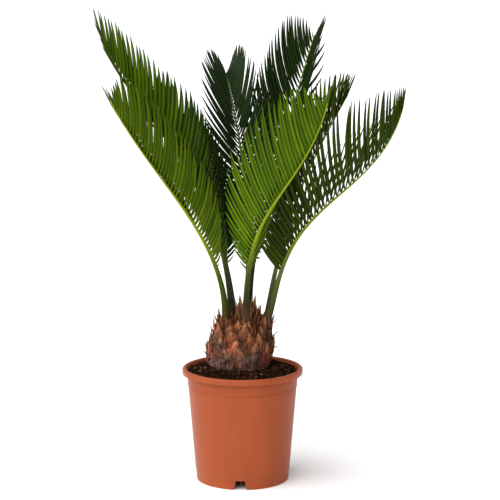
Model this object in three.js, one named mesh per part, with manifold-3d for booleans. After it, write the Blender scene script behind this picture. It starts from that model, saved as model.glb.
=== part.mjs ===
// A young sago palm (a cycad) in its round nursery pot: a scaly, bulb-shaped trunk that leans a
// little to one side, brown papery scales in its crown and eight stiff feather-shaped fronds.
// Millimetres, +Z up. The origin is the middle of the pot's underside, +X is the plant's right
// and +Y its back.

import * as THREE from 'three';
import { mergeVertices } from 'three/addons/utils/BufferGeometryUtils.js';
import Module from 'manifold-3d';

const wasm = await Module();
wasm.setup();

// ---------------------------------------------------------------- driving dimensions

const GAP = 0.3; // clearance between neighbouring pieces
const SUNK = 1; // how far a piece that is fused on reaches into what carries it

// The pot: a thin moulded cone with a rolled lip, standing on a skirt below its raised floor.
const POT_HEIGHT = 160;
const RIM_RADIUS = 85;
const LIP_HEIGHT = 9;
// the rolled lip, from its outer foot over the top: how far in from the rim and down from the top
const LIP_OUTLINE = [[2, 8], [0, 5.5], [0.5, 2], [2.5, 0], [5.5, 1]];
const NECK_RADIUS = 78; // outside of the wall, just under the lip
const FOOT_RADIUS = 65;
const POT_WALL = 2;
const SKIRT_HEIGHT = 13;
const SKIRT_WALL = 2.5;
const SKIRT_STEP = 0.5; // the body stands out this far over the skirt
const FLOOR_THICK = 2.5;
const FOOT_STEP = 1; // the skirt is this much wider at its top than at the ground
const POT_SIDES = 40;

// Under the floor: a hub and radial ribs that reach the ground, notches and drain holes.
const HUB_RADIUS = 9;
const STIFFENER_COUNT = 6;
const STIFFENER_THICK = 2;
const STIFFENER_REACH = 48;
const NOTCH_COUNT = 3;
const NOTCH_TOP_WIDTH = 12;
const NOTCH_FOOT_WIDTH = 18.5;
const NOTCH_HEIGHT = 12.5;
const NOTCH_BEARING = -92.5; // degrees from +X, almost at the front
const DRAIN_RADIUS = 4;
const DRAIN_RING = 36;
const DRAIN_SIDES = 10;

// The potting mix: filled to just under the lip and mounded round the trunk.
const MIX_EDGE_HEIGHT = 153;
const MIX_MOUND_HEIGHT = 162;
const MIX_MOUND_RADIUS = 52;

// The trunk: its foot sits in a recess in the mix, and its top is a little to the right.
const TRUNK_FOOT_HEIGHT = 140;
const TRUNK_FOOT_RADIUS = 45;
const TRUNK_TOP_HEIGHT = 223;
const TRUNK_FOOT_X = -4;
const TRUNK_TOP_X = 4;
const TRUNK_Y = 8;
const TRUNK_SIDES = 20;
const TRUNK_RINGS = 8;
const SHOULDER_BULGE = 0.05; // the left shoulder is this much fuller
const SHOULDER_BEARING = 195;
// half-width and height of the trunk's outline, from the mix up to its flat top
const TRUNK_OUTLINE = [[46, 164], [48, 180], [46.5, 197], [41.5, 210], [33, 219], [22, TRUNK_TOP_HEIGHT]];

// Old leaf bases wrap the trunk as pointed scales, wide below, narrow and long at the shoulder.
const BASE_SCALE_COUNT = 62;
const GOLDEN_ANGLE = 137.508;
const LOW_SCALE = { width: 19, length: 20, stand: 2.5 };
const HIGH_SCALE = { width: 10, length: 22, stand: 3.5 };
const LOWEST_SCALE = 0; // where the first and last scales have their feet, as shares of the outline
const HIGHEST_SCALE = 0.78;
const SCALE_WIDEST = 0.4; // share of a scale's length at which it is widest
const BEARING_SCATTER = 6; // degrees
const LENGTH_SCATTER = 0.15; // share of the length

// The papery scales of the crown stand on a low dome between the stalks.
const CROWN_DOME_RADIUS = 21;
const CROWN_DOME_HEIGHT = 8;
const CROWN_SCALE_COUNT = 30;
const CROWN_SCALE_LENGTH = 44;
const CROWN_SCALE_WIDTH = 6.5;
const CROWN_SCALE_THICK = 1.6;
const CROWN_SCALE_WIDEST = 0.35; // share of its length
const CROWN_LEAN = [4, 24]; // degrees outwards, for the innermost and the outermost scale
const CROWN_LEAN_SCATTER = 5;
const CROWN_REACH = [1.1, 0.75]; // shares of the length, for the same two
const CROWN_SPREAD = 0.85; // share of the dome's radius that the scales stand on
const DOME_SIDES = 16;

// Stalks and ribs
const STALK_RADIUS = 4.4;
const TIP_RADIUS = 0.9;
const RIB_TAPER = 2; // 1 thins evenly, more thins faster near the base
const STALK_LENGTH = 76; // bare stalk below the first leaflet
const LAST_LEAFLET = 0.985; // share of the rib's length where the last pair stands
const RIB_SIDES = 6;
const RIB_RINGS = 20;
const RIB_STEPS = 96; // short steps that the bent centre line is added up from
const SOCKET_FLARE = 1.6; // the trunk's sockets are this much thicker than the stalks
const SOCKET_DEPTH = 20; // how far below the trunk's top the sockets spring from
const SOCKET_SLANT = 0.8; // how far out a socket's foot is, as a share of the way to its stalk
const SOCKET_SINK = 6; // how much the foot is lowered, so that it is well inside the trunk
const SOCKET_SIDES = 8;

// Leaflets: fewer and broader than the real ones, which stand half as far apart.
const LEAFLET_SPACING = 9.5;
const LEAFLET_FILL = 0.95; // greatest width, as a share of the room between two leaflets
const LEAFLET_WIDEST = 0.4; // where that is, as a share of the leaflet's length
const LEAFLET_SLIM = 1 / 6; // but no wider than this share of their length
const LEAFLET_THICK = 1.2;
const LEAFLET_STOUT = 1 / 90; // but no thinner than this share of their length
const LEAFLET_SCATTER = 2; // degrees
const LEAFLET_TWIST = 14; // degrees, each leaflet turned about its length like a louver
const LEAFLET_CLEAR = 0.6; // room that a leaflet keeps to the other fronds
const SHORTER = [1, 0.75, 0.5]; // a leaflet that would touch is tried again at these shares

// Each frond has a base on the trunk's crown and a length along its rib. The other values are
// lists of stations, evenly spaced from the base to the tip, with a smooth curve through them:
//   lean     degrees between the rib and the vertical
//   bearing  degrees of the way it leans, from +X towards +Y
//   roll     degrees that the frond is turned about its own rib
//   spread   degrees that its two rows of leaflets rise from the level of the rib, as a V
//   open     degrees between rib and leaflet at the leaflet's root
//   curl     degrees by which that angle closes towards the leaflet's tip
//   reach    length of the leaflets, as a share of the longest
const FRONDS = {
  frond_left_low: {
    base: [-24, -8, 229], length: 362, leaflet: 95,
    lean: [-2, 30, 38, 29], bearing: [207, 211], roll: [28, 46],
    spread: [45, 69, 65], open: [60, 68, 35], curl: [27, 30, 20],
    reach: [0.1, 0.77, 0.95, 0.94, 0.13],
  },
  frond_left_high: {
    base: [-15, 6, 228], length: 431, leaflet: 95,
    lean: [3, 22, 38, 26], bearing: [167, 164], roll: [10, 8, -28, 14],
    spread: [40, 50, 46], open: [50, 52, 21], curl: [16, 20, 6],
    reach: [0.14, 0.62, 0.86, 0.93, 0.66],
  },
  frond_rear_left: {
    base: [-13, 28, 227], length: 380, leaflet: 83,
    lean: [4, 24, 48, 77], bearing: [150, 129], roll: [4, 4],
    spread: [58, 66], open: [70, 56, 62], curl: [26, 31, 0],
    reach: [0.2, 0.9, 1.15, 1.18, 0.19],
  },
  frond_rear: {
    base: [6, 36, 228], length: 492, leaflet: 100,
    lean: [-3, 11, 54, 107], bearing: [126, 87], roll: [-17, -16, 14],
    spread: [32, 60, 59], open: [83, 55, 34], curl: [3, 21, 13],
    reach: [0.12, 0.88, 1.01, 0.6, 0.22],
  },
  frond_top: {
    base: [10, 20, 229], length: 426, leaflet: 100,
    lean: [-4, 23, 25, 29], bearing: [55, 49], roll: [19, 4, 3],
    spread: [57, 42, 40], open: [79, 52, 33], curl: [0, 33, 17],
    reach: [0.22, 0.76, 1.12, 1.13, 0.1],
  },
  frond_front: {
    base: [5, -26, 231], length: 397, leaflet: 117,
    lean: [-4, 41, 49, 17], bearing: [-81, -48], roll: [-2, 8],
    spread: [40, 58, 37], open: [62, 53, 34], curl: [10, 20, 4],
    reach: [0.16, 0.86, 1.04, 0.88, 0.1],
  },
  frond_right_inner: {
    base: [35, 10, 230], length: 338, leaflet: 93,
    lean: [8, 18, 28, 33], bearing: [24, 28], roll: [-14, -2],
    spread: [48, 57, 45], open: [65, 52, 25], curl: [20, 22, 10],
    reach: [0.12, 0.69, 0.98, 0.93, 0.4],
  },
  frond_right_outer: {
    base: [34, -8, 228], length: 360, leaflet: 115,
    lean: [23, 23, 46, 42, 15], bearing: [-27, 2], roll: [2, -15, -22],
    spread: [55, 48, 42], open: [60, 62, 18], curl: [12, 15, 4],
    reach: [0.49, 0.87, 1.07, 0.83, 0.32],
  },
};

// The fronds that stand in front keep all their leaflets, so they are filled first.
const FILL_ORDER = [
  'frond_front', 'frond_left_low', 'frond_right_outer', 'frond_left_high',
  'frond_top', 'frond_right_inner', 'frond_rear', 'frond_rear_left',
];

// ---------------------------------------------------------------- small helpers

const radians = THREE.MathUtils.degToRad;
const lerp = THREE.MathUtils.lerp;
const Z_AXIS = new THREE.Vector3(0, 0, 1);

/** The value at x (0 to 1) of the smooth curve through evenly spaced stations (Lagrange's formula). */
function through(stations, x) {
  const last = stations.length - 1;
  let sum = 0;
  stations.forEach((value, i) => {
    let weight = 1;
    for (let j = 0; j <= last; j += 1) {
      if (j !== i) weight *= (x * last - j) / (i - j);
    }
    sum += value * weight;
  });
  return sum;
}

/** A value from -1 to 1 that differs from one number to the next, and is always the same for each. */
function wobble(number) {
  const scrambled = Math.sin(number * 12.9898) * 43758.5453;
  return 2 * (scrambled - Math.floor(scrambled)) - 1;
}

/** a + b * amount, for vectors. */
function along(a, b, amount) {
  return a.clone().addScaledVector(b, amount);
}

// ---------------------------------------------------------------- solids

/** Six times the volume inside a closed mesh, negative where its faces point inwards. */
function signedVolume(positions, corners) {
  const corner = (i) => new THREE.Vector3().fromArray(positions, 3 * corners[i]);
  let sum = 0;
  for (let i = 0; i < corners.length; i += 3) sum += corner(i).dot(corner(i + 1).cross(corner(i + 2)));
  return sum;
}

/** A solid of a closed geometry: equal vertices merged, flat triangles dropped, faces outwards. */
function solidOf(geometry) {
  geometry.deleteAttribute('normal');
  geometry.deleteAttribute('uv');
  const merged = mergeVertices(geometry);
  const positions = merged.attributes.position.array;
  const index = merged.index.array;
  const corners = [];
  for (let i = 0; i < index.length; i += 3) {
    const [a, b, c] = index.slice(i, i + 3);
    if (a !== b && b !== c && c !== a) corners.push(a, b, c);
  }
  if (signedVolume(positions, corners) < 0) corners.reverse();
  return new wasm.Manifold(new wasm.Mesh({
    numProp: 3,
    vertProperties: new Float32Array(positions),
    triVerts: new Uint32Array(corners),
  }));
}

/** The three.js geometry of a solid. */
function geometryOf(solid) {
  const mesh = solid.getMesh();
  const geometry = new THREE.BufferGeometry();
  geometry.setAttribute('position', new THREE.Float32BufferAttribute(mesh.vertProperties, 3));
  geometry.setIndex(Array.from(mesh.triVerts));
  geometry.computeVertexNormals();
  return geometry;
}

/** Joins a list of solids in pairs, until one is left. */
function unite(solids) {
  let list = solids;
  while (list.length > 1) {
    const joined = [];
    for (let i = 0; i + 1 < list.length; i += 2) joined.push(list[i].add(list[i + 1]));
    if (list.length % 2 === 1) joined.push(list[list.length - 1]);
    list = joined;
  }
  return list[0];
}

/** A solid lofted through rings of equally many points. An end ring of one point closes to a tip. */
function loft(rings) {
  const starts = rings.map((_, k) => rings.slice(0, k).flat().length);
  const corners = [];
  for (let k = 0; k + 1 < rings.length; k += 1) {
    const low = (i) => starts[k] + (i % rings[k].length);
    const high = (i) => starts[k + 1] + (i % rings[k + 1].length);
    const count = Math.max(rings[k].length, rings[k + 1].length);
    for (let i = 0; i < count; i += 1) {
      corners.push(low(i), low(i + 1), high(i + 1), low(i), high(i + 1), high(i));
    }
  }
  const end = starts[rings.length - 1];
  for (let i = 1; i + 1 < rings[0].length; i += 1) corners.push(0, i + 1, i);
  for (let i = 1; i + 1 < rings[rings.length - 1].length; i += 1) corners.push(end, end + i, end + i + 1);
  const geometry = new THREE.BufferGeometry().setFromPoints(rings.flat());
  geometry.setIndex(corners);
  return solidOf(geometry);
}

/** A ring of points round a centre, in the plane of two directions a and b, at radiusAt(angle). */
function ring(centre, a, b, sides, radiusAt) {
  return Array.from({ length: sides }, (_, i) => {
    const angle = (i / sides) * 2 * Math.PI;
    const radius = radiusAt(angle);
    return along(along(centre, a, radius * Math.cos(angle)), b, radius * Math.sin(angle));
  });
}

/** A turned solid round +Z from an outline of [radius, height] pairs that ends on the axis. */
function turned(outline, sides) {
  const points = outline.map(([radius, height]) => new THREE.Vector2(radius, height));
  const geometry = new THREE.LatheGeometry(points, sides);
  geometry.rotateX(Math.PI / 2);
  return solidOf(geometry);
}

/** Eight faces of a pointed scale: a foot, two edges, a tip, a ridge in front and a point behind. */
function pointedScale(foot, left, right, tip, front, back) {
  const geometry = new THREE.BufferGeometry().setFromPoints([foot, left, right, tip, front, back]);
  geometry.setIndex([
    0, 2, 4, 2, 3, 4, 3, 1, 4, 1, 0, 4,
    2, 0, 5, 3, 2, 5, 1, 3, 5, 0, 1, 5,
  ]);
  return solidOf(geometry);
}

function boxesMeet(a, b) {
  return [0, 1, 2].every((i) => a.min[i] < b.max[i] && b.min[i] < a.max[i]);
}

/** Whether a probe shares space with any solid of a list of { solid, box }. */
function touches(probe, placed) {
  const box = probe.boundingBox();
  return placed.some((other) => {
    if (!boxesMeet(box, other.box)) return false;
    const shared = probe.intersect(other.solid);
    const meets = !shared.isEmpty();
    shared.delete();
    return meets;
  });
}

function boxed(solid) {
  return { solid, box: solid.boundingBox() };
}

// ---------------------------------------------------------------- pot

const FLOOR_TOP = SKIRT_HEIGHT + FLOOR_THICK;
const LIP_FOOT = POT_HEIGHT - LIP_HEIGHT;
const BODY_FOOT_RADIUS = FOOT_RADIUS + FOOT_STEP;

/** Inner radius of the pot's wall at a height between its floor and its lip. */
function wallInside(height) {
  const share = (height - SKIRT_HEIGHT) / (LIP_FOOT - SKIRT_HEIGHT);
  return lerp(BODY_FOOT_RADIUS, NECK_RADIUS, share) - POT_WALL;
}

function makePot() {
  const bodyFoot = BODY_FOOT_RADIUS + SKIRT_STEP;
  const body = turned([
    [0, 0],
    [HUB_RADIUS, 0],
    [HUB_RADIUS, SKIRT_HEIGHT],
    [BODY_FOOT_RADIUS - SKIRT_WALL, SKIRT_HEIGHT],
    [FOOT_RADIUS - SKIRT_WALL, 0],
    [FOOT_RADIUS, 0],
    [BODY_FOOT_RADIUS, SKIRT_HEIGHT],
    [bodyFoot, SKIRT_HEIGHT + SKIRT_STEP],
    [NECK_RADIUS, LIP_FOOT],
    ...LIP_OUTLINE.map(([inwards, down]) => [RIM_RADIUS - inwards, POT_HEIGHT - down]),
    [wallInside(LIP_FOOT), LIP_FOOT],
    [wallInside(FLOOR_TOP), FLOOR_TOP],
    [0, FLOOR_TOP],
  ], POT_SIDES);
  const withStiffeners = unite([body, ...stiffeners()]);
  return [...notches(), ...drainHoles()].reduce((pot, cut) => pot.subtract(cut), withStiffeners);
}

/** Thin upright ribs from the hub outwards, from the ground into the floor. */
function stiffeners() {
  const length = STIFFENER_REACH - HUB_RADIUS + SUNK;
  return Array.from({ length: STIFFENER_COUNT }, (_, i) => {
    const rib = new THREE.BoxGeometry(length, STIFFENER_THICK, SKIRT_HEIGHT + SUNK);
    rib.translate(HUB_RADIUS - SUNK + length / 2, 0, (SKIRT_HEIGHT + SUNK) / 2);
    rib.rotateZ(radians(NOTCH_BEARING + (i * 360) / STIFFENER_COUNT));
    return solidOf(rib);
  });
}

/** Trapezoid openings in the skirt, wider at the ground. */
function notches() {
  const depth = 20;
  return Array.from({ length: NOTCH_COUNT }, (_, i) => {
    const outline = new THREE.Shape([
      new THREE.Vector2(-NOTCH_FOOT_WIDTH / 2, -SUNK),
      new THREE.Vector2(NOTCH_FOOT_WIDTH / 2, -SUNK),
      new THREE.Vector2(NOTCH_TOP_WIDTH / 2, NOTCH_HEIGHT),
      new THREE.Vector2(-NOTCH_TOP_WIDTH / 2, NOTCH_HEIGHT),
    ]);
    const notch = new THREE.ExtrudeGeometry(outline, { depth, bevelEnabled: false });
    notch.rotateX(Math.PI / 2);
    notch.rotateZ(Math.PI / 2);
    notch.translate(FOOT_RADIUS - depth / 2, 0, 0);
    notch.rotateZ(radians(NOTCH_BEARING + (i * 360) / NOTCH_COUNT));
    return solidOf(notch);
  });
}

/** Round holes through the floor, one between each two stiffeners. */
function drainHoles() {
  return Array.from({ length: STIFFENER_COUNT }, (_, i) => {
    const hole = new THREE.CylinderGeometry(DRAIN_RADIUS, DRAIN_RADIUS, 4 * FLOOR_THICK, DRAIN_SIDES);
    hole.rotateX(Math.PI / 2);
    hole.translate(DRAIN_RING, 0, SKIRT_HEIGHT);
    hole.rotateZ(radians(NOTCH_BEARING + ((i + 0.5) * 360) / STIFFENER_COUNT));
    return solidOf(hole);
  });
}

// ---------------------------------------------------------------- potting mix

function makePottingMix() {
  const edge = wallInside(LIP_FOOT) - GAP;
  const slope = (MIX_MOUND_HEIGHT - MIX_EDGE_HEIGHT) / 2;
  const fill = turned([
    [0, FLOOR_TOP + GAP],
    [wallInside(FLOOR_TOP) - GAP, FLOOR_TOP + GAP],
    [edge, LIP_FOOT],
    [edge - 1, MIX_EDGE_HEIGHT],
    [lerp(edge, MIX_MOUND_RADIUS, 0.5), MIX_EDGE_HEIGHT + slope],
    [MIX_MOUND_RADIUS, MIX_MOUND_HEIGHT],
    [0, MIX_MOUND_HEIGHT],
  ], POT_SIDES);
  const recess = loft([
    footRing(TRUNK_FOOT_HEIGHT - GAP, GAP),
    footRing(MIX_MOUND_HEIGHT + SUNK, GAP),
  ]);
  return fill.subtract(recess);
}

// ---------------------------------------------------------------- trunk

/** Middle of the trunk at a height: it leans evenly from the mix to its top. */
function trunkCentre(height) {
  const share = (height - MIX_MOUND_HEIGHT) / (TRUNK_TOP_HEIGHT - MIX_MOUND_HEIGHT);
  const x = lerp(TRUNK_FOOT_X, TRUNK_TOP_X, Math.max(0, share));
  return new THREE.Vector3(x, TRUNK_Y, height);
}

/** A ring of the straight foot that sits in the mix, larger by extra. */
function footRing(height, extra) {
  const x = new THREE.Vector3(1, 0, 0);
  const y = new THREE.Vector3(0, 1, 0);
  return ring(trunkCentre(height).setX(TRUNK_FOOT_X), x, y, TRUNK_SIDES, () => TRUNK_FOOT_RADIUS + extra);
}

const trunkOutline = new THREE.SplineCurve(TRUNK_OUTLINE.map(([radius, height]) => (
  new THREE.Vector2(radius, height)
)));

/** Half-width of the trunk's core at a share of its outline and a bearing: fuller at the left. */
function trunkRadius(half, bearing) {
  const bulge = 1 + SHOULDER_BULGE * Math.cos(bearing - radians(SHOULDER_BEARING));
  return half * bulge;
}

function trunkCore() {
  const x = new THREE.Vector3(1, 0, 0);
  const y = new THREE.Vector3(0, 1, 0);
  const above = trunkOutline.getPoints(TRUNK_RINGS).map((point) => (
    ring(trunkCentre(point.y), x, y, TRUNK_SIDES, (angle) => trunkRadius(point.x, angle))
  ));
  const below = [footRing(TRUNK_FOOT_HEIGHT, 0), footRing(MIX_MOUND_HEIGHT, 0)];
  return loft([...below, ...above]);
}

/** A point on the trunk's core with its directions, by a share of its outline and a bearing. */
function onTrunk(share, bearing) {
  const { x: half, y: height } = trunkOutline.getPoint(share);
  const slope = trunkOutline.getTangent(share);
  const level = new THREE.Vector3(Math.cos(bearing), Math.sin(bearing), 0);
  const out = level.clone().multiplyScalar(slope.y).addScaledVector(Z_AXIS, -slope.x);
  const up = level.clone().multiplyScalar(slope.x).addScaledVector(Z_AXIS, slope.y);
  return { point: along(trunkCentre(height), level, trunkRadius(half, bearing)), out, up };
}

/** One old leaf base on the trunk, the i-th along a spiral from the mix to the shoulder. */
function baseScale(i) {
  const share = i / (BASE_SCALE_COUNT - 1);
  const bearing = radians(i * GOLDEN_ANGLE + BEARING_SCATTER * wobble(i));
  const { point, out, up } = onTrunk(lerp(LOWEST_SCALE, HIGHEST_SCALE, share), bearing);
  const side = up.clone().cross(out);
  const width = lerp(LOW_SCALE.width, HIGH_SCALE.width, share);
  const even = lerp(LOW_SCALE.length, HIGH_SCALE.length, share);
  const length = even * (1 + LENGTH_SCATTER * wobble(i + 0.5));
  const stand = lerp(LOW_SCALE.stand, HIGH_SCALE.stand, share);
  const middle = along(point, up, length * SCALE_WIDEST);
  return pointedScale(
    along(point, out, -SUNK),
    along(along(middle, side, -width / 2), out, -SUNK / 2),
    along(along(middle, side, width / 2), out, -SUNK / 2),
    along(along(point, up, length), out, stand),
    along(middle, out, stand),
    along(middle, out, -3 * SUNK),
  );
}

/**
 * The socket under a stalk: a short stub with a flat top that faces the stalk's cut end. With an
 * extra thickness it is the room that the socket needs, and then reaches past the stalk's end.
 */
function socket(frond, extra) {
  const { point, along: rise, upper, side } = ribAt(frond, 0);
  const top = along(point, rise, 3 * extra - GAP);
  const middle = trunkCentre(TRUNK_TOP_HEIGHT - SOCKET_DEPTH);
  const foot = along(middle.lerp(point, SOCKET_SLANT), Z_AXIS, -SOCKET_SINK);
  const radius = STALK_RADIUS + SOCKET_FLARE + extra;
  return loft([
    ring(foot, upper, side, SOCKET_SIDES, () => radius + SOCKET_FLARE),
    ring(top, upper, side, SOCKET_SIDES, () => radius),
  ]);
}

/** The space that the stalks and their sockets take up, with the usual gap round them. */
function stalkRoom() {
  return Object.values(FRONDS).flatMap((frond) => [makeRib(frond, GAP), socket(frond, GAP)]);
}

function makeTrunk() {
  const ribs = Object.values(FRONDS).map((frond) => boxed(makeRib(frond, GAP)));
  const numbers = Array.from({ length: BASE_SCALE_COUNT }, (_, i) => i);
  const scales = numbers.map(baseScale).filter((scale) => !touches(scale, ribs));
  const sockets = Object.values(FRONDS).map((frond) => socket(frond, 0));
  return unite([trunkCore(), ...scales, ...sockets]);
}

// ---------------------------------------------------------------- fronds

/** The rib's direction, its upper side and its sideways direction at a share s of its length. */
function ribDirections(frond, s) {
  const lean = radians(through(frond.lean, s));
  const bearing = radians(through(frond.bearing, s));
  const roll = radians(through(frond.roll, s));
  const level = new THREE.Vector3(Math.cos(bearing), Math.sin(bearing), 0);
  const rise = level.clone().multiplyScalar(Math.sin(lean)).addScaledVector(Z_AXIS, Math.cos(lean));
  const top = level.clone().multiplyScalar(-Math.cos(lean)).addScaledVector(Z_AXIS, Math.sin(lean));
  const across = rise.clone().cross(top);
  const upper = top.clone().multiplyScalar(Math.cos(roll)).addScaledVector(across, Math.sin(roll));
  const side = across.clone().multiplyScalar(Math.cos(roll)).addScaledVector(top, -Math.sin(roll));
  return { along: rise, upper, side };
}

/** Adds up the rib's centre line in short steps, each along the mean of its ends' directions. */
function ribLine(frond) {
  const step = frond.length / RIB_STEPS / 2;
  const line = [new THREE.Vector3(...frond.base)];
  for (let i = 0; i < RIB_STEPS; i += 1) {
    const here = ribDirections(frond, i / RIB_STEPS).along;
    const there = ribDirections(frond, (i + 1) / RIB_STEPS).along;
    line.push(along(along(line[i], here, step), there, step));
  }
  return line;
}

/** Point and directions of the rib at a share s of its length. */
function ribAt(frond, s) {
  frond.line ??= ribLine(frond);
  const place = Math.min(s * RIB_STEPS, RIB_STEPS - 1e-6);
  const low = Math.floor(place);
  const point = frond.line[low].clone().lerp(frond.line[low + 1], place - low);
  return { point, ...ribDirections(frond, s) };
}

/** Radius of the stalk and rib, thinning fast at first and then evenly to the tip. */
function ribRadius(s) {
  return TIP_RADIUS + (STALK_RADIUS - TIP_RADIUS) * (1 - s) ** RIB_TAPER;
}

function makeRib(frond, extra) {
  const rings = Array.from({ length: RIB_RINGS + 1 }, (_, i) => {
    const s = i / RIB_RINGS;
    const { point, upper, side } = ribAt(frond, s);
    return ring(point, upper, side, RIB_SIDES, () => ribRadius(s) + extra);
  });
  return loft(rings);
}

/**
 * One leaflet: a bent blade with a low ridge on its upper side. It leaves the rib at an angle
 * that closes towards its tip, within a plane through the rib that rises by the row's spread.
 */
function makeLeaflet(frond, t, hand, scale, extra) {
  const start = STALK_LENGTH / frond.length;
  const { point, along: rise, upper, side } = ribAt(frond, lerp(start, LAST_LEAFLET, t));
  const spread = radians(through(frond.spread, t));
  const open = radians(through(frond.open, t) + LEAFLET_SCATTER * wobble(60 * t + hand));
  const curl = radians(through(frond.curl, t));
  const length = frond.leaflet * through(frond.reach, t) * scale;
  const sideways = side.clone().multiplyScalar(hand * Math.cos(spread));
  const outwards = along(sideways, upper, Math.sin(spread));
  const room = LEAFLET_SPACING * Math.sin(open - curl / 2);
  const width = Math.min(LEAFLET_FILL * room, LEAFLET_SLIM * length) + 2 * extra;
  const thick = Math.max(LEAFLET_THICK, LEAFLET_STOUT * length) + 2 * extra;
  const twist = radians(LEAFLET_TWIST) * hand;

  const section = (centre, u) => {
    const angle = open - curl * u;
    const ahead = rise.clone().multiplyScalar(Math.cos(angle)).addScaledVector(outwards, Math.sin(angle));
    const wide = rise.clone().multiplyScalar(-Math.sin(angle)).addScaledVector(outwards, Math.cos(angle));
    wide.applyAxisAngle(ahead, twist);
    const normal = wide.clone().cross(ahead).multiplyScalar(hand);
    const low = along(centre, normal, -extra);
    return {
      ahead,
      points: [
        along(low, wide, width / 2),
        along(low, normal, thick),
        along(low, wide, -width / 2),
      ],
    };
  };
  const middle = along(point, section(point, LEAFLET_WIDEST / 2).ahead, length * LEAFLET_WIDEST);
  const body = section(middle, LEAFLET_WIDEST);
  const outer = section(middle, (1 + LEAFLET_WIDEST) / 2);
  const tip = along(middle, outer.ahead, length * (1 - LEAFLET_WIDEST) + extra);
  return loft([[point], body.points, [tip]]);
}

/** Adds a frond's leaflets to its rib, shortening or skipping those that would touch the others. */
function fillFrond(frond, others) {
  const count = Math.round((frond.length - STALK_LENGTH) / LEAFLET_SPACING);
  const leaflets = [];
  for (let j = 0; j <= count; j += 1) {
    for (const hand of [1, -1]) {
      const fitting = SHORTER.find((scale) => (
        !touches(makeLeaflet(frond, j / count, hand, scale, LEAFLET_CLEAR), others)
      ));
      if (fitting) leaflets.push(makeLeaflet(frond, j / count, hand, fitting, 0));
    }
  }
  return leaflets;
}

function makeFronds() {
  const names = Object.keys(FRONDS);
  const ribs = Object.fromEntries(names.map((name) => [name, boxed(makeRib(FRONDS[name], 0))]));
  const leaflets = {};
  const solids = {};
  for (const name of FILL_ORDER) {
    const otherRibs = names.filter((other) => other !== name).map((other) => ribs[other]);
    const others = [...otherRibs, ...Object.values(leaflets).flat()];
    leaflets[name] = fillFrond(FRONDS[name], others).map(boxed);
    solids[name] = unite([ribs[name].solid, ...leaflets[name].map((leaflet) => leaflet.solid)]);
  }
  return Object.fromEntries(names.map((name) => [name, solids[name]]));
}

// ---------------------------------------------------------------- crown scales

/** One papery scale of the crown: the first ones stand upright, the last ones lean outwards. */
function crownScale(i) {
  const share = (i + 1) / CROWN_SCALE_COUNT;
  const bearing = radians(i * GOLDEN_ANGLE);
  const lean = radians(lerp(...CROWN_LEAN, share) + CROWN_LEAN_SCATTER * wobble(i));
  const level = new THREE.Vector3(Math.cos(bearing), Math.sin(bearing), 0);
  const away = CROWN_DOME_RADIUS * CROWN_SPREAD * Math.sqrt(share);
  const rootHeight = TRUNK_TOP_HEIGHT + GAP + SUNK;
  const root = along(trunkCentre(TRUNK_TOP_HEIGHT).setZ(rootHeight), level, away);
  const up = level.clone().multiplyScalar(Math.sin(lean)).addScaledVector(Z_AXIS, Math.cos(lean));
  const out = level.clone().multiplyScalar(Math.cos(lean)).addScaledVector(Z_AXIS, -Math.sin(lean));
  const side = up.clone().cross(out);
  const scatter = 1 + LENGTH_SCATTER * wobble(i + 0.25);
  const length = CROWN_SCALE_LENGTH * lerp(...CROWN_REACH, share) * scatter;
  const half = CROWN_SCALE_WIDTH / 2;
  const deep = CROWN_SCALE_THICK / 2;
  const middle = along(root, up, length * CROWN_SCALE_WIDEST);
  return pointedScale(
    root,
    along(middle, side, -half),
    along(middle, side, half),
    along(root, up, length),
    along(middle, out, deep),
    along(middle, out, -deep),
  );
}

function makeCrownScales() {
  const foot = TRUNK_TOP_HEIGHT + GAP;
  const dome = turned([
    [0, foot],
    [CROWN_DOME_RADIUS, foot],
    [CROWN_DOME_RADIUS * 0.8, foot + CROWN_DOME_HEIGHT * 0.6],
    [CROWN_DOME_RADIUS * 0.4, foot + CROWN_DOME_HEIGHT],
    [0, foot + CROWN_DOME_HEIGHT],
  ], DOME_SIDES).translate([TRUNK_TOP_X, TRUNK_Y, 0]);
  const room = stalkRoom();
  const core = room.reduce((rest, cut) => rest.subtract(cut), dome);
  const numbers = Array.from({ length: CROWN_SCALE_COUNT }, (_, i) => i);
  const scales = numbers.map(crownScale).filter((scale) => !touches(scale, room.map(boxed)));
  return unite([core, ...scales]);
}

// ---------------------------------------------------------------- assembly

const palm = new THREE.Group();

function place(name, solid, color, roughness) {
  const material = new THREE.MeshStandardMaterial({ color, roughness, metalness: 0 });
  const mesh = new THREE.Mesh(geometryOf(solid), material);
  mesh.name = name;
  palm.add(mesh);
}

const fronds = makeFronds();

place('pot', makePot(), 0xb8603a, 0.45);
place('potting_mix', makePottingMix(), 0x2b1d14, 0.95);
place('trunk', makeTrunk(), 0x7a4630, 0.85);
place('crown_scales', makeCrownScales(), 0x8a5a3a, 0.85);
for (const [name, solid] of Object.entries(fronds)) place(name, solid, 0x3f6f1c, 0.5);

export default palm;
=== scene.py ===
# %% [markdown]
# # A young sago palm in its nursery pot
# The sago palm is a cycad: a short trunk wrapped in old leaf bases, a tuft of papery scales in its
# crown, and stiff fronds whose leaflets stand in two rows along a rib. The solids of the model give
# its sizes. This lesson dresses them: every frond gets its full number of leaflets, the trunk gets
# its relief, and the pot, the potting mix and the leaves get their finishes.

import math

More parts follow.
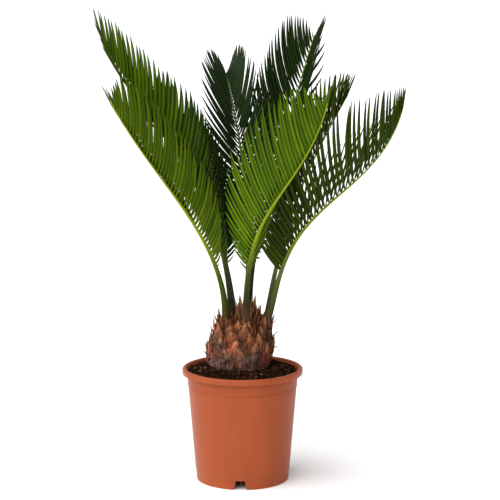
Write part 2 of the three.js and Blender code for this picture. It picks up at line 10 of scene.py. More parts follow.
import bpy
import numpy as np
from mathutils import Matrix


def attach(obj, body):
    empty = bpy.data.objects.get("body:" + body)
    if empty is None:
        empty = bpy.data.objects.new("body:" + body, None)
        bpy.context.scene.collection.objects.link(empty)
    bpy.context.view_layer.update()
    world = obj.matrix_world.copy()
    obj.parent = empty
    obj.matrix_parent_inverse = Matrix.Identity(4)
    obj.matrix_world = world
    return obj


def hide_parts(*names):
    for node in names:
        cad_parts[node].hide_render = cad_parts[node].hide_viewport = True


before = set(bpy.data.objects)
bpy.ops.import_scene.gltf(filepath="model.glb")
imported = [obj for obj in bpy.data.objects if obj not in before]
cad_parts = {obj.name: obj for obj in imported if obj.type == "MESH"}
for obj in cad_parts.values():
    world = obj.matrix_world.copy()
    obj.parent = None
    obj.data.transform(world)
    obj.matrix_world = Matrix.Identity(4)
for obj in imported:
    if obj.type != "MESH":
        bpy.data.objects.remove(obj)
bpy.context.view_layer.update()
random = np.random.default_rng(11)
print("solids:", ", ".join(sorted(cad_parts)))

# %% [markdown]
# ## Meshes from whole arrays
# Nearly every part of this plant is a closed tube of some kind: a rib, a leaflet, a scale, a spine.
# Each is a row of cross-sections that closes to a point at both ends. One helper can therefore join
# thousands of them at once: it works out the faces of one tube and repeats them by adding offsets,
# which is much faster than making them one after the other.

# %% Turn arrays into a piece
MILLIMETRE = 0.001


def new_piece(name, points, faces, material, smooth=60):
    """A mesh object from points in millimetres and a list of face arrays, of 3 or 4 corners each.

    Faces that meet at more than `smooth` degrees keep a sharp edge.
    """
    corners = np.concatenate([group.ravel() for group in faces]).astype(np.int32)
    sizes = np.concatenate([np.full(len(group), group.shape[1]) for group in faces]).astype(np.int32)
    mesh = bpy.data.meshes.new(name)
    mesh.vertices.add(len(points))
    mesh.vertices.foreach_set("co", (points * MILLIMETRE).astype(np.float32).ravel())
    mesh.loops.add(len(corners))
    mesh.loops.foreach_set("vertex_index", corners)
    mesh.polygons.add(len(sizes))
    mesh.polygons.foreach_set("loop_start", np.concatenate([[0], np.cumsum(sizes)[:-1]]).astype(np.int32))
    mesh.polygons.foreach_set("loop_total", sizes)
    mesh.polygons.foreach_set("use_smooth", np.ones(len(sizes), bool))
    mesh.update(calc_edges=True)
    mesh.set_sharp_from_angle(angle=math.radians(smooth))
    mesh.materials.append(material)
    piece = bpy.data.objects.new(name, mesh)
    bpy.context.scene.collection.objects.link(piece)
    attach(piece, "root")
    print(f"{name}: {int((sizes - 2).sum())} triangles")
    return piece


def give_values(piece, name, values):
    """Stores one vector per vertex under a name, for the materials to read."""
    layer = piece.data.attributes.new(name, "FLOAT_VECTOR", "POINT")
    layer.data.foreach_set("vector", values.astype(np.float32).ravel())


# %% Directions and columns
UP = np.array([0.0, 0.0, 1.0])


def stacked(*columns):
    """Numbers and arrays side by side along a new last axis, each repeated to fit the others."""
    return np.stack(np.broadcast_arrays(*columns), -1)


def unit(vectors):
    """Vectors divided by their own lengths."""
    return vectors / np.linalg.norm(vectors, axis=-1, keepdims=True)


def full_turn(count):
    """Evenly spaced angles once round a circle."""
    return np.linspace(0, 2 * np.pi, count, endpoint=False)


def level_way(bearing):
    """Level directions: the cosine of the bearing, its sine, and no height."""
    return stacked(np.cos(bearing), np.sin(bearing), 0)


# %% Closed tubes
def closed_tubes(starts, rings, ends):
    """Points and faces of many tubes with pointed ends, each through its own row of rings.

    starts and ends are (tubes, 3) and rings is (tubes, rings, corners, 3). A tube's points are its
    start, its rings one after the other, and its end. A ring runs anticlockwise as seen from the end.
    """
    tubes, rows, around, _ = rings.shape
    points = np.concatenate([starts[:, None], rings.reshape(tubes, -1, 3), ends[:, None]], axis=1)
    here = np.arange(around)
    after = (here + 1) % around
    row = 1 + around * np.arange(rows - 1)[:, None]
    side = stacked(row + here, row + after, row + after + around, row + here + around)
    last = 1 + around * (rows - 1)
    root = stacked(0, 1 + after, 1 + here)
    tip = stacked(last + here, last + after, last + around)
    offset = points.shape[1] * np.arange(tubes)[:, None, None]
    faces = [group.reshape(-1, group.shape[-1]) + offset for group in (side, root, tip)]
    return points.reshape(-1, 3), [group.reshape(-1, group.shape[-1]) for group in faces]


def spread_values(start, ring, end):
    """The values of a tube's points in the order of closed_tubes, all tubes at once."""
    ring = ring.reshape(len(start), -1, 3)
    return np.concatenate([start[:, None], ring, end[:, None]], axis=1).reshape(-1, 3)


def tube_values(along, across, number, ends=(0, 1)):
    """Each point's place along its tube, its place across it, and the tube's own random number."""
    ring = stacked(along[:, None], across, number[:, None, None])
    return spread_values(stacked(ends[0], 0, number), ring, stacked(ends[1], 0, number))


# %% [markdown]
# ## Colours and nodes
# Colours are written as the hex values of a colour chart and turned to linear light by one function.
# A material is a small network of nodes. One function adds a node, sets its settings and inputs, and
# links it, so that each material below reads as a list of what its surface has.

# %% Colour and node helpers
def linear(hex_colour):
    """An sRGB hex colour as linear light: each channel through the sRGB curve, with full alpha."""
    channels = np.array([int(hex_colour[i : i + 2], 16) for i in (0, 2, 4)]) / 255
    light = np.where(channels <= 0.04045, channels / 12.92, ((channels + 0.055) / 1.055) ** 2.4)
    return (*light.tolist(), 1.0)


def add_node(tree, kind, inputs=None, stops=(), **settings):
    """Adds a node with its settings and fills its inputs, and gives back its outputs.

    The kind is Blender's name without its common start. An input may be another node's output, which
    is linked, or a value. stops are the (place, hex colour) pairs of a colour ramp.
    """
    node = tree.nodes.new("ShaderNode" + kind)
    for name, value in settings.items():
        setattr(node, name, value)
    for place, value in (inputs or {}).items():
        if isinstance(value, bpy.types.NodeSocket):
            tree.links.new(value, node.inputs[place])
        else:
            node.inputs[place].default_value = linear(value) if isinstance(value, str) else value
    for number, (place, colour) in enumerate(stops):
        elements = node.color_ramp.elements
        element = elements[number] if number < len(elements) else elements.new(place)
        element.position = place
        element.color = linear(colour)
    return node.outputs


def new_finish(name, **surface):
    """A material with one shader, whose uniform values sit on its own sockets."""
    finish = bpy.data.materials.new(name)
    finish.use_nodes = True
    tree = finish.node_tree
    tree.nodes.clear()
    shader = add_node(tree, "BsdfPrincipled", surface)[0]
    add_node(tree, "OutputMaterial", {"Surface": shader})
    return finish, tree, shader.node


def painted(tree, colour, layers):
    """Lays paints over a colour, one after the other, each as thick as its own value says.

    A layer is (value, start, stop, first, last, paint, weights...): while the value runs from start
    to stop, the paint's share runs from first to last. The weights multiply it.
    """
    for value, start, stop, first, last, paint, *weights in layers:
        share = add_node(tree, "MapRange", {0: value, 1: start, 2: stop, 3: first, 4: last})[0]
        for weight in weights:
            share = add_node(tree, "Math", {0: share, 1: weight}, operation="MULTIPLY")[0]
        colour = add_node(tree, "Mix", {0: share, 6: colour, 7: paint}, data_type="RGBA")[2]
    return colour


def link_surface(tree, shader, colour, height, strength, distance, rough=None):
    """Links a colour, a relief `distance` metres deep and, where it varies, a roughness."""
    bump = {"Height": height, "Strength": strength, "Distance": distance}
    tree.links.new(colour, shader.inputs["Base Color"])
    tree.links.new(add_node(tree, "Bump", bump)[0], shader.inputs["Normal"])
    if rough is not None:
        tree.links.new(rough, shader.inputs["Roughness"])


# %% [markdown]
# ## The leaf finish
# A cycad leaflet is leathery, with a waxy skin: deep green, glossy above and duller below, with fine
# veins along it and a paler middle. Each leaflet carries three values: how far along it a point is,
# how far across, and a random number of its own. The finish reads them, so that no two leaflets are
# quite the same green and the veins follow every bend.

# %% Leaf finish
VEIN_SPACING = 0.7  # mm between the fine veins, drawn about twice as coarse as the real ones


def leaf_finish(name, deep, bright, shade):
    """Waxy leaflets between two greens.

    Over these lie fine veins, a paler middle, painted shade on the rolled edges and a dry point.
    """
    finish, tree, shader = new_finish(name, **{"IOR": 1.45, "Specular IOR Level": 0.06})
    leaf = add_node(tree, "Attribute", attribute_name="leaf")["Vector"]
    along, across, number = add_node(tree, "SeparateXYZ", {0: leaf})
    aside = add_node(tree, "Math", {0: across}, operation="ABSOLUTE")[0]
    place = add_node(tree, "TexCoord")["Object"]
    patches = add_node(tree, "TexNoise", {"Vector": place, "Scale": 55.0, "Detail": 3.0})[0]
    stretch = (3.0, 6.5 / VEIN_SPACING, 148.0)  # the last sets each leaflet's own veins apart
    drawn_out = add_node(tree, "VectorMath", {0: leaf, 1: stretch}, operation="MULTIPLY")[0]
    veins = add_node(tree, "TexNoise", {"Vector": drawn_out, "Scale": 1.0, "Detail": 1.0})[0]
    green = add_node(tree, "Mix", {0: number, 6: deep, 7: bright}, data_type="RGBA")[2]
    layers = [
        (patches, 0.35, 0.7, 0.0, 0.45, deep),
        (veins, 0.45, 0.75, 0.0, 0.25, bright),
        (aside, 0.05, 0.25, 0.35, 0.0, bright),
        # painted shade: each leaflet darkens towards both edges, where its rolled margins turn from the light
        (aside, 0.5, 0.95, 0.0, 0.85, shade),
        (along, 0.95, 1.0, 0.0, 0.8, "5e4a1c"),
    ]
    rough = add_node(tree, "MapRange", {0: patches, 1: 0.3, 2: 0.7, 3: 0.38, 4: 0.52})[0]
    link_surface(tree, shader, painted(tree, green, layers), veins, 0.25, 0.0003, rough)
    return finish


# %% [markdown]
# ## The rib finish
# A frond's stalk is green-brown and woolly at its foot, olive a hand's breadth up, and turns to a
# clear yellow-green rib between the leaflets. The tube carries its place along the frond, so a
# colour ramp can follow it, and streaks stretched along the stalk stand for its fibres.

# %% Rib finish
def rib_finish(name, foot, stalk, rib):
    """A smooth stalk that turns from its foot's colour to its rib's."""
    finish, tree, shader = new_finish(name, **{"IOR": 1.45, "Specular IOR Level": 0.08})
    leaf = add_node(tree, "Attribute", attribute_name="leaf")["Vector"]
    along = add_node(tree, "SeparateXYZ", {0: leaf})[0]
    stretch = {0: leaf, 1: (45.0, 3.0, 3.0)}
    drawn_out = add_node(tree, "VectorMath", stretch, operation="MULTIPLY")[0]
    streaks = add_node(tree, "TexNoise", {"Vector": drawn_out, "Scale": 1.0, "Detail": 3.0})[0]
    places = [(0.0, "4a2c16"), (0.018, "3e2a14"), (0.06, foot), (0.17, stalk), (0.36, rib)]
    colour = add_node(tree, "ValToRGB", {0: along}, stops=places)[0]
    colour = painted(tree, colour, [(streaks, 0.4, 0.75, 0.0, 0.5, stalk)])
    rough = add_node(tree, "MapRange", {0: streaks, 1: 0.3, 2: 0.8, 3: 0.36, 4: 0.52})[0]
    link_surface(tree, shader, colour, streaks, 0.3, 0.0004, rough)
    return finish


# %% [markdown]
# ## How a frond grows
# A frond is told by angles, as one would describe it with a protractor in hand: how far its rib
# leans at a few stations from base to tip, which way, and how much it is rolled. The rib is the sum
# of many short steps in that direction. These are the sizes and angles of the solids, so the fine
# leaflets fill the same fronds.

# %% Sizes of the fronds
STALK_RADIUS = 4.4
TIP_RADIUS = 0.9
RIB_TAPER = 2.0
STALK_LENGTH = 76
LAST_LEAFLET = 0.985  # share of the rib's length
RIB_STEPS = 96
LEAFLET_TWIST = 14  # degrees

# lean, bearing, roll, spread, open and curl are in degrees and reach is a share of the longest
# leaflet, each at evenly spaced stations; base, length and leaflet are in millimetres.
FRONDS = {
    "frond_left_low": dict(
        base=[-24, -8, 229], length=362, leaflet=95,
        lean=[-2, 30, 38, 29], bearing=[207, 211], roll=[28, 46],
        spread=[45, 69, 65], open=[60, 68, 35], curl=[27, 30, 20],
        reach=[0.1, 0.77, 0.95, 0.94, 0.13],
    ),
    "frond_left_high": dict(
        base=[-15, 6, 228], length=431, leaflet=95,
        lean=[3, 22, 38, 26], bearing=[167, 164], roll=[10, 8, -28, 14],
        spread=[40, 50, 46], open=[50, 52, 21], curl=[16, 20, 6],
        reach=[0.14, 0.62, 0.86, 0.93, 0.66],
    ),
    "frond_rear_left": dict(
        base=[-13, 28, 227], length=380, leaflet=83,
        lean=[4, 24, 48, 77], bearing=[150, 129], roll=[4, 4],
        spread=[58, 66], open=[70, 56, 62], curl=[26, 31, 0],
        reach=[0.2, 0.9, 1.15, 1.18, 0.19],
    ),
    "frond_rear": dict(
        base=[6, 36, 228], length=492, leaflet=100,
        lean=[-3, 11, 54, 107], bearing=[126, 87], roll=[-17, -16, 14],
        spread=[32, 60, 59], open=[83, 55, 34], curl=[3, 21, 13],
        reach=[0.12, 0.88, 1.01, 0.6, 0.22],
    ),
    "frond_top": dict(
        base=[10, 20, 229], length=426, leaflet=100,
        lean=[-4, 23, 25, 29], bearing=[55, 49], roll=[19, 4, 3],
        spread=[57, 42, 40], open=[79, 52, 33], curl=[0, 33, 17],
        reach=[0.22, 0.76, 1.12, 1.13, 0.1],
    ),
    "frond_front": dict(
        base=[5, -26, 231], length=397, leaflet=117,
        lean=[-4, 41, 49, 17], bearing=[-81, -48], roll=[-2, 8],
        spread=[40, 58, 37], open=[62, 53, 34], curl=[10, 20, 4],
        reach=[0.16, 0.86, 1.04, 0.88, 0.1],
    ),
    "frond_right_inner": dict(
        base=[35, 10, 230], length=338, leaflet=93,
        lean=[8, 18, 28, 33], bearing=[24, 28], roll=[-14, -2],
        spread=[48, 57, 45], open=[65, 52, 25], curl=[20, 22, 10],
        reach=[0.12, 0.69, 0.98, 0.93, 0.4],
    ),
    "frond_right_outer": dict(
        base=[34, -8, 228], length=360, leaflet=115,
        lean=[23, 23, 46, 42, 15], bearing=[-27, 2], roll=[2, -15, -22],
        spread=[55, 48, 42], open=[60, 62, 18], curl=[12, 15, 4],
        reach=[0.49, 0.87, 1.07, 0.83, 0.32],
    ),
}
print(len(FRONDS), "fronds, the longest", max(frond["length"] for frond in FRONDS.values()), "mm")


# %% The rib's line and directions
def through(stations, x):
    """The smooth curve through evenly spaced stations: each station weighted by Lagrange's formula."""
    last = len(stations) - 1
    weights = [
        np.prod([(x * last - j) / (i - j) for j in range(last + 1) if j != i], axis=0)
        for i in range(last + 1)
    ]
    return sum(value * weight for value, weight in zip(stations, weights))


def turn(first, second, angle):
    """The direction that is `angle` from the first of two square directions towards the second."""
    return first * np.cos(angle)[..., None] + second * np.sin(angle)[..., None]


def rib_directions(frond, s):
    """Unit vectors along the rib, out of its upper side and sideways, at shares s of its length."""
    lean, bearing, roll = (np.radians(through(frond[key], s)) for key in ("lean", "bearing", "roll"))
    level = level_way(bearing)
    along = turn(UP, level, lean)
    top = turn(-level, UP, lean)
    across = np.cross(along, top)
    return along, turn(top, across, roll), turn(across, -top, roll)


def rib_points(frond, s):
    """Points of the rib at shares s: the running sum of short steps along its directions."""
    stations = np.linspace(0, 1, RIB_STEPS + 1)
    along = rib_directions(frond, stations)[0]
    steps = (along[1:] + along[:-1]) / 2 * frond["length"] / RIB_STEPS
    line = np.array(frond["base"]) + np.concatenate([np.zeros((1, 3)), np.cumsum(steps, 0)])
    return stacked(*[np.interp(s, stations, line[:, axis]) for axis in range(3)])


def rib_radius(s):
    """Thick at the stalk and thin at the tip, thinning faster near the base."""
    return TIP_RADIUS + (STALK_RADIUS - TIP_RADIUS) * (1 - s) ** RIB_TAPER


# %% [markdown]
# ## Ribs and spines
# The rib is a round tube with a shallow groove on its upper side, where the two rows of leaflets
# join it. Below the first leaflet the real stalk is armed with short stiff spines along both edges.
# The cross-section is a circle whose radius dips near the top, carried along the rib's line.

# %% Rib and spine meshes
GROOVE_DEPTH = 0.16  # share of the rib's radius
STALK_SWELLING = 0.32  # share of the radius that the stalk's foot is thicker by
SWELLING_LENGTH = 30
RIB_RINGS = 110
RIB_CORNERS = 14
SPINE_SPACING = 6.5
SPINE_RADIUS = 0.55
SPINE_LENGTH = 3.2
SPINE_VALUES = [0.16, 2.0, 0.0]  # every spine has the stalk's colour a little above its foot


def rib_mesh(frond):
    """Rings round the rib's line, each a circle with a dip of GROOVE_DEPTH at its upper side."""
    s = np.linspace(0.002, 0.998, RIB_RINGS)
    _, upper, side = rib_directions(frond, s)
    angle = full_turn(RIB_CORNERS)
    dip = 1 - GROOVE_DEPTH * np.exp(-(((angle - np.pi / 2) / 0.5) ** 2))
    foot = 1 + STALK_SWELLING * np.exp(-s * frond["length"] / SWELLING_LENGTH)
    radius = (rib_radius(s) * foot)[:, None] * dip
    spokes = turn(-side[:, None], upper[:, None], angle)
    rings = rib_points(frond, s)[:, None] + radius[..., None] * spokes
    ends = rib_points(frond, np.array([0.0, 1.0]))
    points, faces = closed_tubes(ends[None, 0], rings[None], ends[None, 1])
    ring_values = stacked(s[:, None], np.sin(angle) + 2, np.cos(angle))
    values = spread_values(np.array([[0.0, 2, 0]]), ring_values[None], np.array([[1.0, 2, 0]]))
    return points, faces, values


def spine_mesh(frond):
    """Small cones along both edges of the stalk, square to it and tilted a little towards the tip."""
    count = int(STALK_LENGTH / SPINE_SPACING) + 2
    s = np.linspace(9, STALK_LENGTH + 6, count) / frond["length"]
    s = np.repeat(s, 2) + random.uniform(-1.2, 1.2, 2 * count) / frond["length"]
    hand = np.tile([1.0, -1.0], count)[:, None]
    along, upper, side = rib_directions(frond, s)
    out = unit(hand * side * 0.85 + upper * 0.25 + along * 0.45)
    wide = unit(np.cross(out, upper))
    deep = np.cross(out, wide)
    root = rib_points(frond, s) + hand * side * (rib_radius(s) * 0.8)[:, None]
    spokes = turn(wide[:, None], deep[:, None], full_turn(5))
    rings = (root[:, None] + SPINE_RADIUS * spokes)[:, None]
    length = SPINE_LENGTH * random.uniform(0.7, 1.15, len(s))
    points, faces = closed_tubes(root - out, rings, root + out * length[:, None])
    values = np.broadcast_to(SPINE_VALUES, points.shape)
    return points, faces, values


# %% [markdown]
# ## Leaflets
# A leaflet leaves the rib at an open angle that closes towards its tip, so it is a gentle arc within
# a plane that rises from the rib like one side of a V. Its section is a low arch with its edges
# rolled under, as on the real plant, and its outline is narrow at the root, even for most of its
# length, and sharp at the end. All leaflets of a frond are worked out together. Each frond grows by
# itself, so where two of them overlap some leaflets pass through one another.

# %% Leaflet meshes
SECTION_ACROSS = np.array([1.0, 0.55, 0.0, -0.55, -1.0, -0.5, 0.0, 0.5])
SECTION_RISE = np.array([-0.5, 0.02, 0.2, 0.02, -0.5, -0.14, -0.16, -0.14])
SECTION_PLACES = np.array([0.03, 0.1, 0.22, 0.36, 0.5, 0.64, 0.77, 0.88, 0.95])
SUNKEN_LENGTH = 0.4  # share of its length that a sunken leaflet lacks


def arc(root, along, outwards, angle, curl, length, u):
    """Points of an arc that starts at `angle` from `along` and closes by `curl` over its length.

    Moving a share u along it adds the integral of its direction: for a steady curl, that is the
    difference of the sines and of the cosines of its angles, divided by the curl.
    """
    curl = np.where(np.abs(curl) < 1e-3, 1e-3, curl)[:, None]
    start = angle[:, None]
    ahead = (np.sin(start) - np.sin(start - curl * u)) / curl
    away = (np.cos(start - curl * u) - np.cos(start)) / curl
    path = ahead[..., None] * along[:, None] + away[..., None] * outwards[:, None]
    return root[:, None] + length[:, None, None] * path


def leaflet_mesh(frond, spacing, widths, sunken=0):
    """Both rows of a frond's leaflets, a pair at each step of `spacing` along the rib.

    Every third leaflet of the first row may be a short one, sunk `sunken` degrees out of the row.
    """
    pairs = round((frond["length"] - STALK_LENGTH) / spacing)
    even = np.repeat(np.arange(pairs + 1) / pairs, 2)
    t = even * (0.9 + 0.1 * even)
    t = np.clip(t + random.normal(0, 0.06 / pairs, len(t)), 0, 1)
    hand = np.tile([1.0, -1.0], pairs + 1)
    first = STALK_LENGTH / frond["length"]
    s = first + (LAST_LEAFLET - first) * t
    along, upper, side = rib_directions(frond, s)
    scatter = lambda degrees: np.radians(random.normal(0, degrees, len(t)))
    sunk = (hand > 0) & (np.arange(len(t)) // 2 % 3 == 1) & (sunken > 0)
    spread = np.radians(through(frond["spread"], t) - sunken * sunk) + scatter(1.0)
    angle = np.radians(through(frond["open"], t) + sunken / 2 * sunk) + scatter(0.7)
    curl = np.radians(through(frond["curl"], t)) + scatter(1.2)
    twist = hand * (math.radians(LEAFLET_TWIST) + scatter(3))
    length = frond["leaflet"] * through(frond["reach"], t) * random.normal(1, 0.02, len(t))
    length = length * (1 - SUNKEN_LENGTH * sunk)
    outwards = turn(hand[:, None] * side, upper, spread)
    root = rib_points(frond, s)

    u = np.concatenate([SECTION_PLACES, [1.0]])
    path = arc(root, along, outwards, angle, curl, length, u[None])
    bend = (angle[:, None] - curl[:, None] * u)[:, :-1]
    ahead = turn(along[:, None], outwards[:, None], bend)
    wide = turn(outwards[:, None], -along[:, None], bend)
    normal = hand[:, None, None] * np.cross(wide, ahead)
    turned = np.broadcast_to(twist[:, None], bend.shape)
    wide = -hand[:, None, None] * turn(wide, np.cross(ahead, wide), turned)
    normal = turn(normal, np.cross(ahead, normal), turned)

    shape = np.minimum(1, 0.36 + 3.0 * u[:-1]) * (1 - u[:-1] ** 3.2) ** 0.75
    half = np.minimum(through(widths, t), length / 7)[:, None] / 2 * shape
    across = half[..., None, None] * SECTION_ACROSS[:, None] * wide[:, :, None]
    rise = half[..., None, None] * SECTION_RISE[:, None] * normal[:, :, None]
    rings = path[:, :-1, None] + across + rise
    points, faces = closed_tubes(root, rings, path[:, -1])

    return points, faces, tube_values(u[:-1], SECTION_ACROSS, random.uniform(0, 1, len(t)))


# %% Join meshes that share a finish
def joined(parts):
    """Several (points, faces, values) meshes as one, their face numbers moved along."""
    starts = np.cumsum([0] + [len(points) for points, _, _ in parts])
    points = np.concatenate([part[0] for part in parts])
    faces = [group + start for part, start in zip(parts, starts) for group in part[1]]
    values = np.concatenate([part[2] for part in parts])
    return points, faces, values


# %% [markdown]
# ## Eight fronds
# Light does most of the work in telling the fronds apart, and their colours do the rest: the front
# ones are a fresh green, the ones behind and at the right are darker, partly with age and partly as
# painted shade, and the rear one's bluish green is a painted reflection of the pale room. So each
# frond has its own pair of greens and its own rib. Leaflets also stand closer on some than on others.

# %% Grow the fronds
# The deep and the bright green and the painted shade of the rolled edges, then the stalk's colours at
# its foot, above it and along the rib. After them come the leaflets' spacing, their widths from base
# to tip, both in millimetres, and how many degrees every third one of the first row is sunk by. The
# darker greens of the fronds behind and at the right are partly painted shade, and the bluish greens
# of frond_rear are a painted reflection.
FROND_LOOKS = {
    "frond_left_low": ("395102 596f0a 161f00", "2c3408 364806 7e8c0e", 6.5, (6.0, 6.4, 5.0), 0),
    "frond_left_high": ("2f4802 4e6604 121c00", "1e190c 34361a 7e8c0e", 8.2, (6.2, 6.8, 5.0), 0),
    "frond_rear_left": ("182c00 284400 0a1400", "1a140a 2a2c12 465410", 6.6, (7.0, 7.0, 5.0), 0),
    "frond_rear": ("14210a 243518 070c05", "1a140a 2a2c12 4c5a20", 7.0, (5.2, 5.8, 4.4), 0),
    "frond_top": ("0e1c02 182a06 060c00", "1a120a 26240f 6a781e", 7.6, (5.4, 6.0, 4.2), 24),
    "frond_front": ("365000 5a7604 0e1800", "23210b 3a4010 7e900a", 8.1, (5.4, 6.2, 5.4), 0),
    "frond_right_inner": ("222f00 384c04 0a1200", "2e2c1e 484a2c 727e12", 7.4, (6.0, 5.8, 4.4), 0),
    "frond_right_outer": ("1e2c00 364a02 0a1200", "34371a 4e5525 70800e", 7.4, (7.0, 5.9, 4.4), 0),
}
leaflet_total = 0
for node, frond in FRONDS.items():
    greens, stalk, spacing, widths, sunken = FROND_LOOKS[node]
    kind = node.replace("frond_", "")
    words = kind.replace("_", " ")
    points, faces, values = leaflet_mesh(frond, spacing, widths, sunken)
    waxy = leaf_finish(f"waxy leaflet, {words}", *greens.split())
    leaflets = new_piece(f"leaflets_{kind}", points, faces, waxy, smooth=70)
    give_values(leaflets, "leaf", values)
    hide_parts(node)
    leaflet_total += len(points) // (len(SECTION_PLACES) * len(SECTION_ACROSS) + 2)

    points, faces, values = joined([rib_mesh(frond), spine_mesh(frond)])
    smooth_stalk = rib_finish(f"smooth stalk, {words}", *stalk.split())
    rib = new_piece(f"rib_{kind}", points, faces, smooth_stalk)
    give_values(rib, "leaf", values)
    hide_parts(node)
print("leaflets in all:", leaflet_total)

# %% [markdown]
# ## The trunk
# A young sago palm's trunk is hardly wood at all: it is a squat bulb wrapped in the stubs of former
# leaves. They overlap like the scales of an artichoke, broad and grey at the bottom where they are
# oldest, and narrow, reddish and pointed at the shoulder. The core is a turned form that leans a
# little. Each stub is a curved shield: its outline is a width along its length, its cross-section an
# arch, and its tip stands off the trunk.

# %% Sizes of the trunk
MIX_MOUND_HEIGHT = 162
TRUNK_FOOT_HEIGHT = 140
TRUNK_FOOT_RADIUS = 45
TRUNK_TOP_HEIGHT = 223
TRUNK_FOOT_X = -4
TRUNK_TOP_X = 4
TRUNK_Y = 8
SHOULDER_BULGE = 0.05
SHOULDER_BEARING = 195
TRUNK_OUTLINE = np.array([[46, 164], [48, 180], [46.5, 197], [41.5, 210], [33, 219], [22, 223]])
BARK_DEPTH = 3.5  # the outline is that of the leaf bases, and the core lies this far inside it
GOLDEN_ANGLE = 137.508
OUTLINE_STEPS = 101
SMOOTHED_STEPS = 17  # the outline's corners are averaged over this many of its steps


def trunk_outline(share):
    """Half-width and height at shares of the outline, evenly spaced between its corners."""
    place = np.clip(share, 0, 1) * (len(TRUNK_OUTLINE) - 1)
    corners = np.arange(len(TRUNK_OUTLINE))
    fine = np.linspace(0, corners[-1], OUTLINE_STEPS)
    soft = stacked(*[np.interp(fine, corners, column) for column in TRUNK_OUTLINE.T])
    kernel = np.hanning(SMOOTHED_STEPS) / np.hanning(SMOOTHED_STEPS).sum()
    half = SMOOTHED_STEPS // 2
    before, beyond = 2 * soft[:1] - soft[half:0:-1], 2 * soft[-1:] - soft[-2 : -half - 2 : -1]
    padded = np.concatenate([before, soft, beyond])
    width, height = [np.interp(place, fine, np.convolve(column, kernel, "valid")) for column in padded.T]
    return width - BARK_DEPTH, height


def on_trunk(share, bearing):
    """Points on the core with the directions out of it and up along it."""
    half, height = trunk_outline(share)
    next_half, next_height = trunk_outline(np.clip(share, 0, 0.98) + 0.02)
    last_half, last_height = trunk_outline(np.clip(share, 0, 0.98))
    run, rise = next_half - last_half, next_height - last_height
    steep = np.hypot(run, rise)
    run, rise = run / steep, rise / steep
    level = level_way(bearing)
    lean = np.clip((height - MIX_MOUND_HEIGHT) / (TRUNK_TOP_HEIGHT - MIX_MOUND_HEIGHT), 0, 1)
    middle_x = TRUNK_FOOT_X + (TRUNK_TOP_X - TRUNK_FOOT_X) * lean
    middle = stacked(middle_x, TRUNK_Y, height)
    bulge = 1 + SHOULDER_BULGE * np.cos(bearing - math.radians(SHOULDER_BEARING))
    point = middle + level * (half * bulge)[..., None]
    out = level * rise[..., None] - UP * run[..., None]
    up = level * run[..., None] + UP * rise[..., None]
    return point, out, up


# %% [markdown]
# ## Bark finishes
# Dry leaf bases are fibrous. Their colour depends on age: orange and red-brown where the skin has
# just split, tan along the torn edges and points, and grey-violet low down, where weather and felt
# have covered them. The finish mixes these by height, by a random number of each scale and by a
# noise that is drawn out along the scale, so the streaks run the way the fibres do. The scales also
# age sooner towards the left, the side of the lamp, which pales them and takes off their painted
# shade: painted light.

# %% Dry scale finish
FIBRE_SPACING = 2.4  # mm between the bundles of fibres, about three times the real ones


